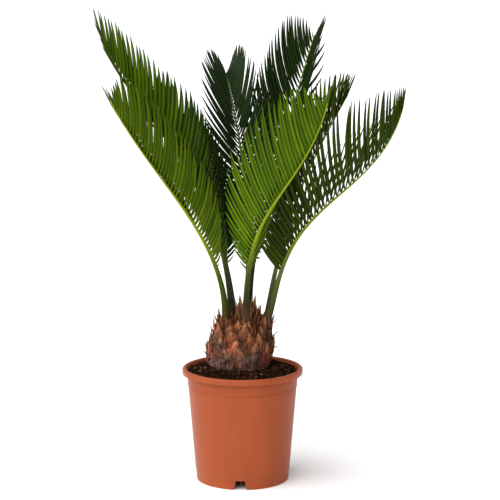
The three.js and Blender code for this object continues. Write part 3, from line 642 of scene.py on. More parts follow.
def dry_scale_finish(name, fresh, tan, aged, low, high):
    """Dry fibrous scales: aged below `low` mm, fresh above `high` mm.

    A tan wedge runs down the middle of each from its point: it is where v - 0.45 |u| is large. Young
    scales get painted shade at their covered foot and along their sides.
    """
    finish, tree, shader = new_finish(name, **{"IOR": 1.45, "Roughness": 0.8, "Specular IOR Level": 0.2})
    scale = add_node(tree, "Attribute", attribute_name="scale")["Vector"]
    along, across, number = add_node(tree, "SeparateXYZ", {0: scale})
    place = add_node(tree, "TexCoord")["Object"]
    sideways, _, height = add_node(tree, "SeparateXYZ", {0: place})
    stretch = (2.2, 10.0 / FIBRE_SPACING, 60.0)  # the last sets each scale's own fibres apart
    drawn_out = add_node(tree, "VectorMath", {0: scale, 1: stretch}, operation="MULTIPLY")[0]
    patterns = [
        (drawn_out, 1.0, 4.0, 0.6),  # fibres
        (place, 34.0, 3.0, 0.6),  # blotches of about 30 mm
        (place, 330.0, 3.0, 0.7),  # specks of about 3 mm
        (place, 95.0, 4.0, 0.7),  # felt, in patches of about 10 mm
    ]
    names = ("Vector", "Scale", "Detail", "Roughness")
    fibres, blotches, specks, felt = [
        add_node(tree, "TexNoise", dict(zip(names, pattern)))[0] for pattern in patterns
    ]

    places = np.linspace(0, 1, len(fresh)).tolist()
    tint = add_node(tree, "Math", {0: number, 1: 0.3, 2: blotches}, operation="MULTIPLY_ADD")[0]
    tint = add_node(tree, "MapRange", {0: tint, 1: 0.42, 2: 0.9})[0]
    ripe = add_node(tree, "ValToRGB", {0: tint}, stops=list(zip(places, fresh)))[0]
    worn = painted(tree, aged[0], [(felt, 0.4, 0.66, 0.0, 1.0, aged[1])])

    # painted light: the x place tilts the age, so scales on the left, towards the lamp, age sooner and look
    # paler
    uneven = height
    for pattern, much in ((blotches, 0.1), (sideways, 0.3)):
        step = {0: pattern, 1: much, 2: uneven}
        uneven = add_node(tree, "Math", step, operation="MULTIPLY_ADD")[0]
    # the blotches add 50 mm on average, so both heights are that much higher
    years = {0: uneven, 1: (low + 50) * MILLIMETRE, 2: (high + 50) * MILLIMETRE, 3: 0.9, 4: 0.0}
    age = add_node(tree, "MapRange", years)[0]
    youth = add_node(tree, "Math", {0: 1.0, 1: age}, operation="SUBTRACT")[0]
    bare = add_node(tree, "Math", {0: age, 1: -0.7, 2: 1.0}, operation="MULTIPLY_ADD")[0]
    edge = add_node(tree, "Math", {0: across}, operation="ABSOLUTE")[0]
    wedge = add_node(tree, "Math", {0: edge, 1: -0.45, 2: along}, operation="MULTIPLY_ADD")[0]
    spots = add_node(tree, "MapRange", {0: specks, 1: 0.35, 2: 0.6, 3: 0.25, 4: 1.0})[0]
    colour = add_node(tree, "Mix", {0: age, 6: ripe, 7: worn}, data_type="RGBA")[2]
    layers = [
        (wedge, 0.3, 0.75, 0.0, 0.85, tan, spots, youth),
        (fibres, 0.5, 0.62, 0.0, 0.75, "1e0c06", bare),
        # painted shade: young scales darken towards their foot, where the scale above covers them
        (along, 0.05, 0.35, 0.7, 0.0, "180a04", youth),
        # painted shade: young scales darken along their sides, in the gaps between scales
        (edge, 0.7, 1.0, 0.0, 0.6, "1c0c06", youth),
    ]
    rise = add_node(tree, "Math", {0: fibres, 1: specks}, operation="ADD")[0]
    link_surface(tree, shader, painted(tree, colour, layers), rise, 1.0, 0.002)
    return finish


bark = dry_scale_finish(
    "dry leaf bases",
    fresh=("3c1e10", "683a20", "84482a", "9c4e34", "ac543e"),
    tan="b0895e",
    aged=("2e1d17", "967a70"),
    low=164,
    high=200,
)
paper = dry_scale_finish(
    "papery crown scales",
    fresh=("331a0e", "5c2f1a", "824424", "9c6034"),
    tan="b48a5c",
    aged=("3a2214", "54361f"),
    low=215,
    high=222,
)

# %% [markdown]
# ## The core and its shields
# The core is a surface of revolution by share and bearing, roughened by a sum of sines so that no
# smooth skin shows between the shields. Its foot goes straight down into the mix.


# %% Core of the trunk
def ripples(points, waves, seed):
    """A soft random relief from -1 to 1: a sum of sines in random directions, of wavelengths in mm."""
    chance = np.random.default_rng(seed)
    total = 0
    for wavelength in waves:
        way = unit(chance.normal(size=(6, 3)))
        phase = chance.uniform(0, 2 * np.pi, 6)
        total = total + np.sin(points @ way.T * (2 * np.pi / wavelength) + phase).sum(-1) / 6
    return total / len(waves)


CORE_ROUGHNESS = 0.7  # mm


def core_mesh(around=180, rows=70):
    """Rings of the trunk from its foot in the mix to its flat top, with a rough skin."""
    bearing = full_turn(around)
    share, angle = np.meshgrid(np.linspace(0, 1, rows), bearing, indexing="ij")
    point, out, _ = on_trunk(share, angle)
    point = point + out * (CORE_ROUGHNESS * ripples(point, (14, 6, 3), 3))[..., None]
    height = np.array([TRUNK_FOOT_HEIGHT + 1, 150, MIX_MOUND_HEIGHT])[:, None, None]
    foot = [TRUNK_FOOT_X, TRUNK_Y, 0] + level_way(bearing) * (TRUNK_FOOT_RADIUS - BARK_DEPTH) + UP * height
    rings = np.concatenate([foot, point])
    start = np.array([[TRUNK_FOOT_X, TRUNK_Y, TRUNK_FOOT_HEIGHT + 1]])
    end = np.array([[TRUNK_TOP_X, TRUNK_Y, TRUNK_TOP_HEIGHT]])
    points, faces = closed_tubes(start, rings[None], end)
    return points, faces, stacked(0.2, points[:, 0] * 0.02, 0.4)


# %% One row of numbers per leaf base
SHIELD_PLACES = np.array([0.03, 0.1, 0.2, 0.32, 0.44, 0.56, 0.68, 0.79, 0.89, 0.96])
SHIELD_FRONT = np.linspace(1, -1, 9)
SHIELD_BACK = np.linspace(-0.7, 0.7, 4)
HUGGING = 0.65  # how far a shield follows the trunk's curve, from not at all to fully
OUTLINE_LENGTH = 75  # mm along the trunk's outline, for all of its shares
WRAP_RADIUS = 48  # of the trunk, which a wide shield bends round
POINT_LIFT = 0.06  # share of a shield's length that its point stands off the trunk


def shield_outline(v, blunt):
    """Width along a leaf base: it widens to v = 0.4, then narrows, with full sides where blunt is 1.

    The narrow part is 1 - x^p of its length x, less a hollow of sin(pi x) for the pointed ones.
    """
    taper = np.clip((v - 0.4) / 0.6, 0, 1)
    wide = 0.78 + 0.22 * np.sin(np.minimum(v / 0.4, 1) * np.pi / 2)
    narrow = (1 - taper ** (1.2 + blunt)) * (1 - 0.3 * (1 - blunt) * np.sin(taper * np.pi))
    return wide * narrow


def shields(share, bearing, width, length, thick, blunt, lean, freed, turn_out, seed):
    """Curved closed shields that start at shares of the trunk's outline and run up over it.

    Along its length v a shield follows the trunk where `freed` is 0, and where `freed` is 1 it stands
    straight up, leaning out by `lean`. Its point turns out by turn_out * v^3. Across it, an arch of
    (1 - u^1.7) times the thickness makes its front, and ripples roughen it.
    """
    count = len(share)
    chance = np.random.default_rng(seed)
    v = SHIELD_PLACES
    point, out, up = on_trunk(share, bearing)
    side = np.cross(up, out)
    reach = share[:, None] + 0.7 * v * length[:, None] / OUTLINE_LENGTH
    hugged, hugged_out, _ = on_trunk(reach, np.broadcast_to(bearing[:, None], reach.shape))
    straight = point[:, None] + up[:, None] * (v * length[:, None])[..., None]
    level = level_way(bearing)
    stand = point[:, None] + turn(UP, level, lean)[:, None] * (v * length[:, None])[..., None]
    loose = freed[:, None, None]
    middle = (HUGGING * hugged + (1 - HUGGING) * straight) * (1 - loose) + stand * loose
    face = (HUGGING * hugged_out + (1 - HUGGING) * out[:, None]) * (1 - loose)
    face = unit(face + turn(level, -UP, lean)[:, None] * loose)
    lift = POINT_LIFT * length[:, None] * v**1.5 * (1 - freed[:, None])
    middle = middle + face * (lift + turn_out[:, None] * v**3)[..., None]
    skew = chance.normal(0, 0.15, count)[:, None] * length[:, None] * v**2
    middle = middle + side[:, None] * skew[..., None]
    ragged = 1 + 0.12 * chance.normal(size=(count, len(v)))
    half = width[:, None] / 2 * shield_outline(v, blunt[:, None]) * ragged
    keel = thick[:, None] * np.sqrt(np.clip(1 - v, 0, 1)) * 1.1
    u = np.concatenate([SHIELD_FRONT, SHIELD_BACK])
    front = np.concatenate([1 - np.abs(SHIELD_FRONT) ** 1.7, 0 * SHIELD_BACK])
    back = np.concatenate([0 * SHIELD_FRONT, np.full(len(SHIELD_BACK), 1.0)])
    wrap = half[..., None] ** 2 * u**2 / 2 / WRAP_RADIUS
    rise = keel[..., None] * front - (0.5 + 0.3 * keel)[..., None] * back - wrap
    rings = (
        middle[:, :, None]
        + side[:, None, None] * (half[..., None] * u)[..., None]
        + face[:, :, None] * rise[..., None]
    )
    lumps = ripples(rings, (13, 6, 2.8), seed + 1) * np.minimum(1, keel)[..., None]
    rings = rings + face[:, :, None] * (1.5 * lumps * (0.25 + front))[..., None]
    last = middle[:, -1] + (middle[:, -1] - middle[:, -2]) * 0.6
    start = point - out * 1.2
    points, faces = closed_tubes(start, rings, last)
    return points, faces, tube_values(v, u, chance.uniform(0, 1, count))


# %% The spiral of leaf bases
SHIELD_COUNT = 54
LOW_SHIELD = dict(width=25, length=36, thick=2.4, blunt=0.95, lean=0)
HIGH_SHIELD = dict(width=13.5, length=23, thick=2.0, blunt=0.0, lean=4)


def trunk_shields():
    """From the mix to the crown: broad and thick below, narrow, upright and thin at the shoulder."""
    chance = np.random.default_rng(17)
    number = np.arange(SHIELD_COUNT)
    climb = (number / (SHIELD_COUNT - 1)) ** 0.8
    between = lambda key: LOW_SHIELD[key] + (HIGH_SHIELD[key] - LOW_SHIELD[key]) * climb
    bearing = np.radians(number * GOLDEN_ANGLE + chance.uniform(-9, 9, SHIELD_COUNT))
    curl = chance.uniform(0, 2.4, SHIELD_COUNT)
    curl[chance.uniform(0, 1, SHIELD_COUNT) < 0.1] = 6.0
    return shields(
        share=-0.1 + 0.84 * climb + chance.uniform(-0.025, 0.025, SHIELD_COUNT),
        bearing=bearing,
        width=between("width") * chance.uniform(0.7, 1.35, SHIELD_COUNT),
        length=between("length") * chance.uniform(0.75, 1.25, SHIELD_COUNT),
        thick=between("thick"),
        blunt=between("blunt"),
        lean=np.radians(between("lean") + chance.normal(0, 5, SHIELD_COUNT)),
        freed=np.clip((climb - 0.45) / 0.45, 0, 1),
        turn_out=curl,
        seed=21,
    )


# %% [markdown]
# ## Torn fibres
# Old leaf bases fray. Slivers of fibre peel off them and stand along the trunk, which gives it its
# streaky look. They are the same shields again, much smaller and strewn at random.

# %% Slivers on the trunk
SLIVER_COUNT = 420
SLIVER_LIFT = 2.6
SLIVER_LIFT_END = 222  # the height where slivers lie on the trunk itself again
SLIVER_LIFT_FADE = 30


def trunk_slivers():
    """Narrow shields anywhere on the trunk, upright near the shoulder and flat on it lower down."""
    chance = np.random.default_rng(23)
    share = chance.uniform(-0.05, 0.84, SLIVER_COUNT)
    points, faces, values = shields(
        share=share,
        bearing=chance.uniform(0, 2 * np.pi, SLIVER_COUNT),
        width=chance.uniform(1.2, 3.4, SLIVER_COUNT),
        length=chance.uniform(9, 24, SLIVER_COUNT),
        thick=chance.uniform(0.4, 0.9, SLIVER_COUNT),
        blunt=0 * share,
        lean=np.radians(6 + chance.normal(0, 7, SLIVER_COUNT)),
        freed=np.clip((share - 0.5) / 0.4, 0, 1),
        turn_out=chance.uniform(0, 3, SLIVER_COUNT),
        seed=29,
    )
    return points + slivers_out(points), faces, values


def slivers_out(points):
    """Moves points away from the trunk's axis, so that slivers lie on the leaf bases' thickness."""
    level = unit((points - [0, TRUNK_Y, 0]) * [1, 1, 0])
    return level * SLIVER_LIFT * np.clip((SLIVER_LIFT_END - points[:, 2:]) / SLIVER_LIFT_FADE, 0, 1)


# %% [markdown]
# ## Stray flakes and sockets
# A few old leaf bases have come loose and stand off at the sides. Under each living stalk the trunk
# has a short socket, from which the frond breaks off cleanly when it dies. The stalk's cut end stands
# a hair above it, as on the solids.

# %% Flake and socket meshes
# share of the trunk's outline, bearing and lean in degrees, width and length in millimetres
STRAYS = np.array(
    [
        [0.66, 0, 34, 2.2, 19], [0.42, -6, 28, 6, 17], [0.26, -3, 62, 7, 10],
        [0.74, 181, -6, 6, 16], [0.14, 186, 42, 5, 12], [0.5, 172, 16, 7, 14],
    ]
)  # fmt: skip
SOCKET_FLARE = 1.6
SOCKET_DEPTH = 20
SOCKET_SLANT = 0.8
SOCKET_SINK = 6
SOCKET_GAP = 0.3  # mm below the stalk's end


def stray_shields():
    """Loose flakes, each given by one row of STRAYS."""
    share, bearing, lean, width, length = STRAYS.T
    return shields(
        share=share,
        bearing=np.radians(bearing),
        width=width,
        length=length,
        thick=0.3 + 0.1 * width,
        blunt=0 * share,
        lean=np.radians(lean),
        freed=0 * share + 1,
        turn_out=0.15 * length,
        seed=37,
    )


def socket_mesh():
    """Tapering stubs from inside the trunk up to the stalks' ends, their sides roughened."""
    top = np.array([frond["base"] for frond in FRONDS.values()], float)
    middle = np.array([TRUNK_TOP_X, TRUNK_Y, TRUNK_TOP_HEIGHT - SOCKET_DEPTH])
    foot = middle + (top - middle) * SOCKET_SLANT - UP * SOCKET_SINK
    way = unit(top - foot)
    top = top - way * SOCKET_GAP
    wide = unit(np.cross(way, [0.0, 1.0, 0.0]))
    deep = np.cross(way, wide)
    climb = np.linspace(0, 1, 8)
    angle = full_turn(24)
    spokes = turn(wide[:, None], deep[:, None], angle)
    radius = STALK_RADIUS * (1 + STALK_SWELLING) + SOCKET_FLARE * (1.4 - climb)
    line = foot[:, None] + (top - foot)[:, None] * climb[:, None]
    rings = line[:, :, None] + spokes[:, None] * radius[:, None, None]
    rings = rings + spokes[:, None] * (0.5 * ripples(rings, (6, 3), 41))[..., None]
    points, faces = closed_tubes(foot, rings, top)
    number = np.linspace(0, 1, len(top))
    return points, faces, tube_values(0.3 + 0.3 * climb, 0.5 * np.sin(3 * angle), number, ends=(0.3, 0.3))


trunk_parts = [core_mesh(), trunk_shields(), trunk_slivers(), stray_shields(), socket_mesh()]
points, faces, values = joined(trunk_parts)
trunk = new_piece("trunk_bark", points, faces, bark, smooth=50)
give_values(trunk, "scale", values)
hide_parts("trunk")

# %% [markdown]
# ## The papery crown
# Between the stalks stands a tuft of pointed, papery scales that once covered the young leaves. They
# are thin and a little cupped, the inner ones upright and the outer ones leaning out. They are flat
# tubes on a golden-angle spiral over a low woolly dome.

# %% Papery scales
CROWN_DOME_RADIUS = 21
CROWN_DOME_HEIGHT = 8
PAPER_PLACES = np.array([0.05, 0.2, 0.35, 0.5, 0.65, 0.78, 0.9])
PAPER_ACROSS = np.array([1, 0.5, 0, -0.5, -1, -0.5, 0, 0.5])
PAPER_CUP = np.array([-0.35, 0.1, 0.25, 0.1, -0.35, -0.12, 0.02, -0.12])


def papers(root, bearing, lean, length, width, seed):
    """Lance-shaped scales from their roots, as flat tubes that bow and bend by chance.

    A scale's middle line is v * length along its lean, plus a bow outwards and a bend sideways that
    grow with v^2. Its half-width is (1 - v)^0.75, and its section is cupped.
    """
    chance = np.random.default_rng(seed)
    count = len(bearing)
    level = level_way(bearing)
    up = turn(UP, level, lean)
    out = turn(level, -UP, lean)
    side = np.cross(up, out)
    v = PAPER_PLACES
    half = width[:, None] / 2 * np.clip(1.15 * (1 - v) ** 0.75, 0, 1)
    bow = length[:, None] * chance.normal(0.02, 0.07, count)[:, None] * v**2
    bend = length[:, None] * chance.normal(0, 0.07, count)[:, None] * v**2
    middle = (
        root[:, None]
        + up[:, None] * (v * length[:, None])[..., None]
        + out[:, None] * bow[..., None]
        + side[:, None] * bend[..., None]
    )
    rings = (
        middle[:, :, None]
        + side[:, None, None] * (half[..., None] * PAPER_ACROSS)[..., None]
        + out[:, None, None] * (half[..., None] * PAPER_CUP)[..., None]
    )
    last = middle[:, -1] + (middle[:, -1] - middle[:, -2]) * 0.8
    points, faces = closed_tubes(root, rings, last)
    return points, faces, tube_values(v, PAPER_ACROSS, chance.uniform(0, 1, count))


# %% Where the papery scales stand
CROWN_SCALES = 60
CROWN_LENGTH = 48  # of the innermost scale, in millimetres
CROWN_SHORTENING = 0.62  # share of it that the outermost scale lacks
SHEATH_SCALES = 9
SHEATH_DROP = 13
# The tallest scales: right of the middle and behind it, then length and width, all in millimetres.
CROWN_BLADES = np.array(
    [
        [-2, -1, 51, 9], [3, 3, 44, 9], [-6, -3, 42, 10], [-11, -2, 32, 10], [-16, 2, 24, 9],
        [9, 1, 40, 7], [13, -3, 45, 5], [20, -2, 31, 5], [22, -6, 20, 6], [16, 2, 26, 8],
        [-3, -11, 31, 11], [8, -12, 27, 10], [15, -11, 22, 8], [-10, -9, 24, 11],
    ]
)  # fmt: skip


def crown_mesh():
    """The tuft: distance from the middle grows along a golden-angle spiral, and length falls with it."""
    chance = np.random.default_rng(5)
    number = np.arange(CROWN_SCALES)
    share = (number + 1) / CROWN_SCALES
    bearing = np.radians(number * GOLDEN_ANGLE + chance.uniform(-10, 10, CROWN_SCALES))
    level = level_way(bearing)
    away = 0.98 * CROWN_DOME_RADIUS * np.sqrt(share)
    root = np.array([TRUNK_TOP_X, TRUNK_Y, TRUNK_TOP_HEIGHT - 3.0]) + level * away[:, None]
    lean = np.radians(1 + 10 * share + chance.normal(0, 5, CROWN_SCALES))
    length = CROWN_LENGTH * (1.0 - CROWN_SHORTENING * np.sqrt(share)) * chance.uniform(0.8, 1.1, CROWN_SCALES)
    return papers(root, bearing, lean, length, chance.uniform(5.5, 10.0, CROWN_SCALES), 6)


def blade_mesh():
    """The tallest scales, each facing forwards and a little to its own side."""
    right, behind, length, width = CROWN_BLADES.T
    root = stacked(TRUNK_TOP_X + right, TRUNK_Y + behind, TRUNK_TOP_HEIGHT - 1)
    return papers(root, np.radians(-90 + 1.5 * right), np.radians(2 + 0.1 * length), length, width, 9)


def sheath_mesh():
    """A ring of short scales round the foot of each stalk, where the frond broke out of the crown."""
    chance = np.random.default_rng(7)
    base = np.repeat([frond["base"] for frond in FRONDS.values()], SHEATH_SCALES, axis=0)
    count = len(base)
    bearing = np.arange(count) * 2 * np.pi / SHEATH_SCALES + chance.uniform(-0.3, 0.3, count)
    level = level_way(bearing)
    root = base + level * (STALK_RADIUS * (1 + STALK_SWELLING) + 1.0) - UP * SHEATH_DROP
    lean = np.radians(chance.normal(3, 4, count))
    length = chance.uniform(11, 22, count)
    return papers(root, bearing, lean, length, chance.uniform(5.0, 8.5, count), 8)


def dome_mesh():
    """A low rounded cap: its height is the square root of one minus the radius squared, roughened."""
    share = np.linspace(0, 1, 16)
    angle = full_turn(48)
    radius = CROWN_DOME_RADIUS * np.cos(share * np.pi / 2 * 0.98)
    height = TRUNK_TOP_HEIGHT - 1 + CROWN_DOME_HEIGHT * np.sin(share * np.pi / 2)
    outwards = level_way(angle) * radius[:, None, None]
    rings = [TRUNK_TOP_X, TRUNK_Y, 0] + outwards + UP * height[:, None, None]
    rings[..., 2] += 0.5 * ripples(rings, (7, 3), 8)
    start = np.array([[TRUNK_TOP_X, TRUNK_Y, TRUNK_TOP_HEIGHT - 2.0]])
    end = np.array([[TRUNK_TOP_X, TRUNK_Y, TRUNK_TOP_HEIGHT + CROWN_DOME_HEIGHT]])
    points, faces = closed_tubes(start, rings[None], end)
    return points, faces, stacked(0.3, points[:, 0] * 0.02, 0.3)


points, faces, values = joined([dome_mesh(), crown_mesh(), blade_mesh(), sheath_mesh()])
crown = new_piece("crown_tuft", points, faces, paper, smooth=50)
give_values(crown, "scale", values)
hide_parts("crown_scales")

# %% [markdown]
# ## The nursery pot
# Nursery pots are injection moulded in thin polypropylene coloured like fired clay. The wall leans
# out from a short skirt to a rolled lip, a moulding line runs round it a little below, and the
# skirt is notched so that water can run out. The pot is a closed profile turned round its axis. The
# notches are worked into the same grid: the height of the skirt's lower edge depends on the bearing.

# %% Sizes of the pot
POT_HEIGHT = 160
RIM_RADIUS = 85
LIP_FOOT = 151
NECK_RADIUS = 78
FOOT_RADIUS = 65
SKIRT_HEIGHT = 13
SKIRT_TOP_RADIUS = 66
SKIRT_WALL = 2.5
FLOOR_TOP = 15.5
POT_WALL = 2
LINE_HEIGHT = 135.5
NOTCH_BEARING = -92.5
NOTCH_HEIGHT = 12.5
NOTCH_TOP_WIDTH = 12
NOTCH_FOOT_WIDTH = 18.5
FLOOR_RINGS = (1.5, 30)  # radii of the rings that the floor is laid through
# Rounded edges of the lip: the radius and height of the centre, the edge's own radius, its first and
# last angle in degrees, and its number of points
LIP_EDGES = [
    (NECK_RADIUS + 0.8, LIP_FOOT - 0.2, 0.8, 180, 90, 4),
    (RIM_RADIUS - 1.2, LIP_FOOT + 1.8, 1.2, -90, 0, 5),
    (RIM_RADIUS - 2.6, POT_HEIGHT - 2.6, 2.6, 0, 90, 8),
    (RIM_RADIUS - 4.2, POT_HEIGHT - 1.6, 1.6, 90, 180, 6),
]


def wall_radius(height):
    """Outside of the leaning wall between skirt and lip."""
    share = (height - SKIRT_HEIGHT) / (LIP_FOOT - SKIRT_HEIGHT)
    return SKIRT_TOP_RADIUS + 0.5 + (NECK_RADIUS - SKIRT_TOP_RADIUS - 0.5) * share


def notch_height(angle):
    """How high the skirt is cut at a bearing: a trapezoid of width over radius, three times round."""
    turn_third = np.radians(120)
    off = (angle - math.radians(NOTCH_BEARING) + turn_third / 2) % turn_third - turn_third / 2
    away = np.abs(FOOT_RADIUS * np.sin(off))
    slope = (NOTCH_FOOT_WIDTH - NOTCH_TOP_WIDTH) / 2
    return NOTCH_HEIGHT * np.clip((NOTCH_FOOT_WIDTH / 2 - away) / slope, 0, 1)


# %% Turn the pot
def round_edge(centre_radius, centre_height, radius, start, stop, count):
    """Points of a rounded edge, from one angle to another in degrees."""
    angle = np.radians(np.linspace(start, stop, count))
    return stacked(centre_radius + radius * np.cos(angle), centre_height + radius * np.sin(angle))


def pot_profile():
    """Outline of the pot's wall as (radius, height), from the skirt's edge over the lip to the floor."""
    line = LINE_HEIGHT + np.array([-1.6, -0.7, 0, 0.8])
    walls = np.concatenate([[15, 40, 70, 100, 125], line, [143, 149.5]])
    stands_out = np.array([0, 0, 0, 0, 0, 0, -0.35, 0.7, 0.4, 0.35, 0.35])
    body = stacked(wall_radius(walls) + stands_out, walls)
    inner = np.linspace(LIP_FOOT, FLOOR_TOP + 0.6, 8)
    return np.concatenate(
        [
            [[SKIRT_TOP_RADIUS, SKIRT_HEIGHT], [SKIRT_TOP_RADIUS + 0.5, SKIRT_HEIGHT + 0.6]],
            body,
            *[round_edge(*edge) for edge in LIP_EDGES],
            [[wall_radius(LIP_FOOT) - POT_WALL + 1.2, POT_HEIGHT - 6]],
            stacked(wall_radius(inner) - POT_WALL, inner),
            [[wall_radius(FLOOR_TOP) - POT_WALL - 0.6, FLOOR_TOP]],
            [[radius, FLOOR_TOP] for radius in FLOOR_RINGS[::-1]],
        ]
    )


def pot_mesh():
    """The wall's profile, carried on round the skirt, whose foot follows the notches, and the floor."""
    notch_widths = np.array([NOTCH_TOP_WIDTH, NOTCH_FOOT_WIDTH])
    half_notch = np.degrees(np.arcsin(notch_widths / 2 / FOOT_RADIUS))
    corners = np.concatenate([half_notch + 0.01, half_notch - 0.01])
    corners = np.concatenate([corners, -corners])
    corners = (corners[:, None] + NOTCH_BEARING + np.array([0, 120, 240])).ravel() % 360
    degrees = np.unique(np.round(np.concatenate([np.arange(0, 360, 1.5), corners]), 4))
    angle = np.radians(degrees)
    wall = pot_profile()
    foot = notch_height(angle)
    around = lambda radius, height: stacked(radius * np.cos(angle), radius * np.sin(angle), height)
    widening = SKIRT_TOP_RADIUS - FOOT_RADIUS
    skirt = lambda inset, shares: [
        around(FOOT_RADIUS - inset + widening * share, foot + (SKIRT_HEIGHT - foot) * share)
        for share in shares
    ]
    shares = np.linspace(0, 1, 5)
    under = [around(radius, SKIRT_HEIGHT) for radius in FLOOR_RINGS]
    inner, outer = skirt(SKIRT_WALL, shares[::-1]), skirt(0, shares[:-1])
    rings = np.stack([*under, *inner, *outer, *[around(radius, height) for radius, height in wall]])
    start = np.array([[0.0, 0, SKIRT_HEIGHT]])
    end = np.array([[0.0, 0, FLOOR_TOP]])
    return closed_tubes(start, rings[None], end)


# %% [markdown]
# ## Moulded plastic
# Polypropylene has an IOR of about 1.49 and a satin skin. Its pigment is even, but the surface
# shows faint streaks where the melt flowed and a fine grain that breaks up reflections.


# %% Plastic finish
def moulded_plastic(name, main, warm, rough):
    """Satin moulded plastic with faint flow streaks and a fine grain of about half a millimetre."""
    finish, tree, shader = new_finish(name, **{"IOR": 1.49, "Specular IOR Level": 0.16})
    place = add_node(tree, "TexCoord")["Object"]
    upright = add_node(tree, "Mapping", {"Vector": place, "Scale": (1.0, 1.0, 0.12)})[0]
    flow = add_node(tree, "TexNoise", {"Vector": upright, "Scale": 40.0, "Detail": 3.0})[0]
    grain = add_node(tree, "TexNoise", {"Vector": place, "Scale": 1400.0, "Detail": 2.0})[0]
    colour = painted(tree, main, [(flow, 0.3, 0.7, 0.0, 1.0, warm)])
    sheen = {0: flow, 1: 0.3, 2: 0.7, 3: rough - 0.04, 4: rough + 0.05}
    satin = add_node(tree, "MapRange", sheen)[0]
    link_surface(tree, shader, colour, grain, 0.12, 0.0002, satin)
    return finish


terracotta = moulded_plastic("moulded terracotta polypropylene", "8d4220", "974826", 0.4)

# %% Pot with its drain holes
DRAIN_RADIUS = 4
DRAIN_RING = 36
points, faces = pot_mesh()
pot = new_piece("pot_shell", points, faces, terracotta, smooth=40)
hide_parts("pot")


def upright_rods(places, radius, low, high, around=32):
    """Closed round rods on level places, from one height to another."""
    ring = radius * level_way(full_turn(around))
    foot, top = places + UP * low, places + UP * high
    rings = np.stack([foot[:, None] + ring, top[:, None] + ring], 1)
    return closed_tubes(foot, rings, top)


drain_places = DRAIN_RING * level_way(np.radians(NOTCH_BEARING + 30 + 60 * np.arange(6)))
points, faces = upright_rods(drain_places, DRAIN_RADIUS, SKIRT_HEIGHT - 3, FLOOR_TOP + 3)
drills = new_piece("drills", points, faces, terracotta)
cut = pot.modifiers.new("drain holes", "BOOLEAN")
cut.operation = "DIFFERENCE"
cut.object = drills
cut.solver = "EXACT"
bpy.context.view_layer.update()
drilled = bpy.data.meshes.new_from_object(pot.evaluated_get(bpy.context.evaluated_depsgraph_get()))
pot.modifiers.clear()
pot.data = drilled
bpy.data.objects.remove(drills)
print("pot with drain holes:", len(pot.data.polygons), "faces")

# %% [markdown]
# ## Stiffeners under the floor
# The raised floor rests on a hub and six thin upright ribs that reach the ground, one of which shows
# as a dark bar in the front notch. Each rib is drawn as a flat closed tube, thinner at the ground
# than at the floor, because moulded ribs need that draft to leave the mould.

# %% Stiffener mesh
HUB_RADIUS = 9
STIFFENER_REACH = 48
STIFFENER_FOOT = 0.05  # mm above the ground
STIFFENER_TOP = SKIRT_HEIGHT - 0.3


def stiffener_mesh():
    """Six flat ribs: a rectangle in plan whose thickness grows from 1.3 to 2 mm with height."""
    bearing = np.radians(NOTCH_BEARING + 60 * np.arange(6))
    ahead = level_way(bearing)
    aside = np.cross(UP, ahead)
    reach = np.array([STIFFENER_REACH, STIFFENER_REACH, HUB_RADIUS - 1, HUB_RADIUS - 1])
    half = np.array([-1, 1, 1, -1])
    height = np.array([STIFFENER_FOOT, 0.4, 6.5, STIFFENER_TOP])[:, None, None]
    thick = np.array([1.3, 1.6, 1.8, 2.0])[:, None, None] / 2
    plan = ahead[:, None, None] * reach[:, None] + aside[:, None, None] * half[:, None] * thick
    rings = plan + UP * height
    middle = ahead * (STIFFENER_REACH + HUB_RADIUS) / 2
    return closed_tubes(middle + UP * STIFFENER_FOOT, rings, middle + UP * STIFFENER_TOP)


hub = upright_rods(np.zeros((1, 3)), HUB_RADIUS, STIFFENER_FOOT, STIFFENER_TOP, 48)
blank = lambda mesh: (*mesh, np.zeros((len(mesh[0]), 3)))
points, faces, _ = joined([blank(stiffener_mesh()), blank(hub)])
new_piece("pot_stiffeners", points, faces, terracotta, smooth=30)

# %% [markdown]
# ## The potting mix
# The mix is peat, composted bark and a little light grit, a few millimetres below the rim and heaped
# round the trunk. Its top is a polar grid raised by ripples of several wavelengths. Thousands of
# small crumbs and slivers of bark are strewn on it, all joined into one mesh.

# %% Surface of the mix
MIX_EDGE_HEIGHT = 155.5
MOUND_EDGE_RADIUS = 76
MOUND_TOP_RADIUS = 50
MIX_LUMPS = (17, 8, 4)  # wavelengths in millimetres
MIX_LUMP_HEIGHT = 1.3
MIX_LUMP_SEED = 13
CRUMBS_FROM, CRUMBS_TO = 44, 75  # radii


def mix_height(radius):
    """Level at the pot's wall, rising to a mound round the trunk along half a cosine."""
    climb = np.clip((MOUND_EDGE_RADIUS - radius) / (MOUND_EDGE_RADIUS - MOUND_TOP_RADIUS), 0, 1)
    return MIX_EDGE_HEIGHT + (MIX_MOUND_HEIGHT - MIX_EDGE_HEIGHT) * (1 - np.cos(climb * np.pi)) / 2


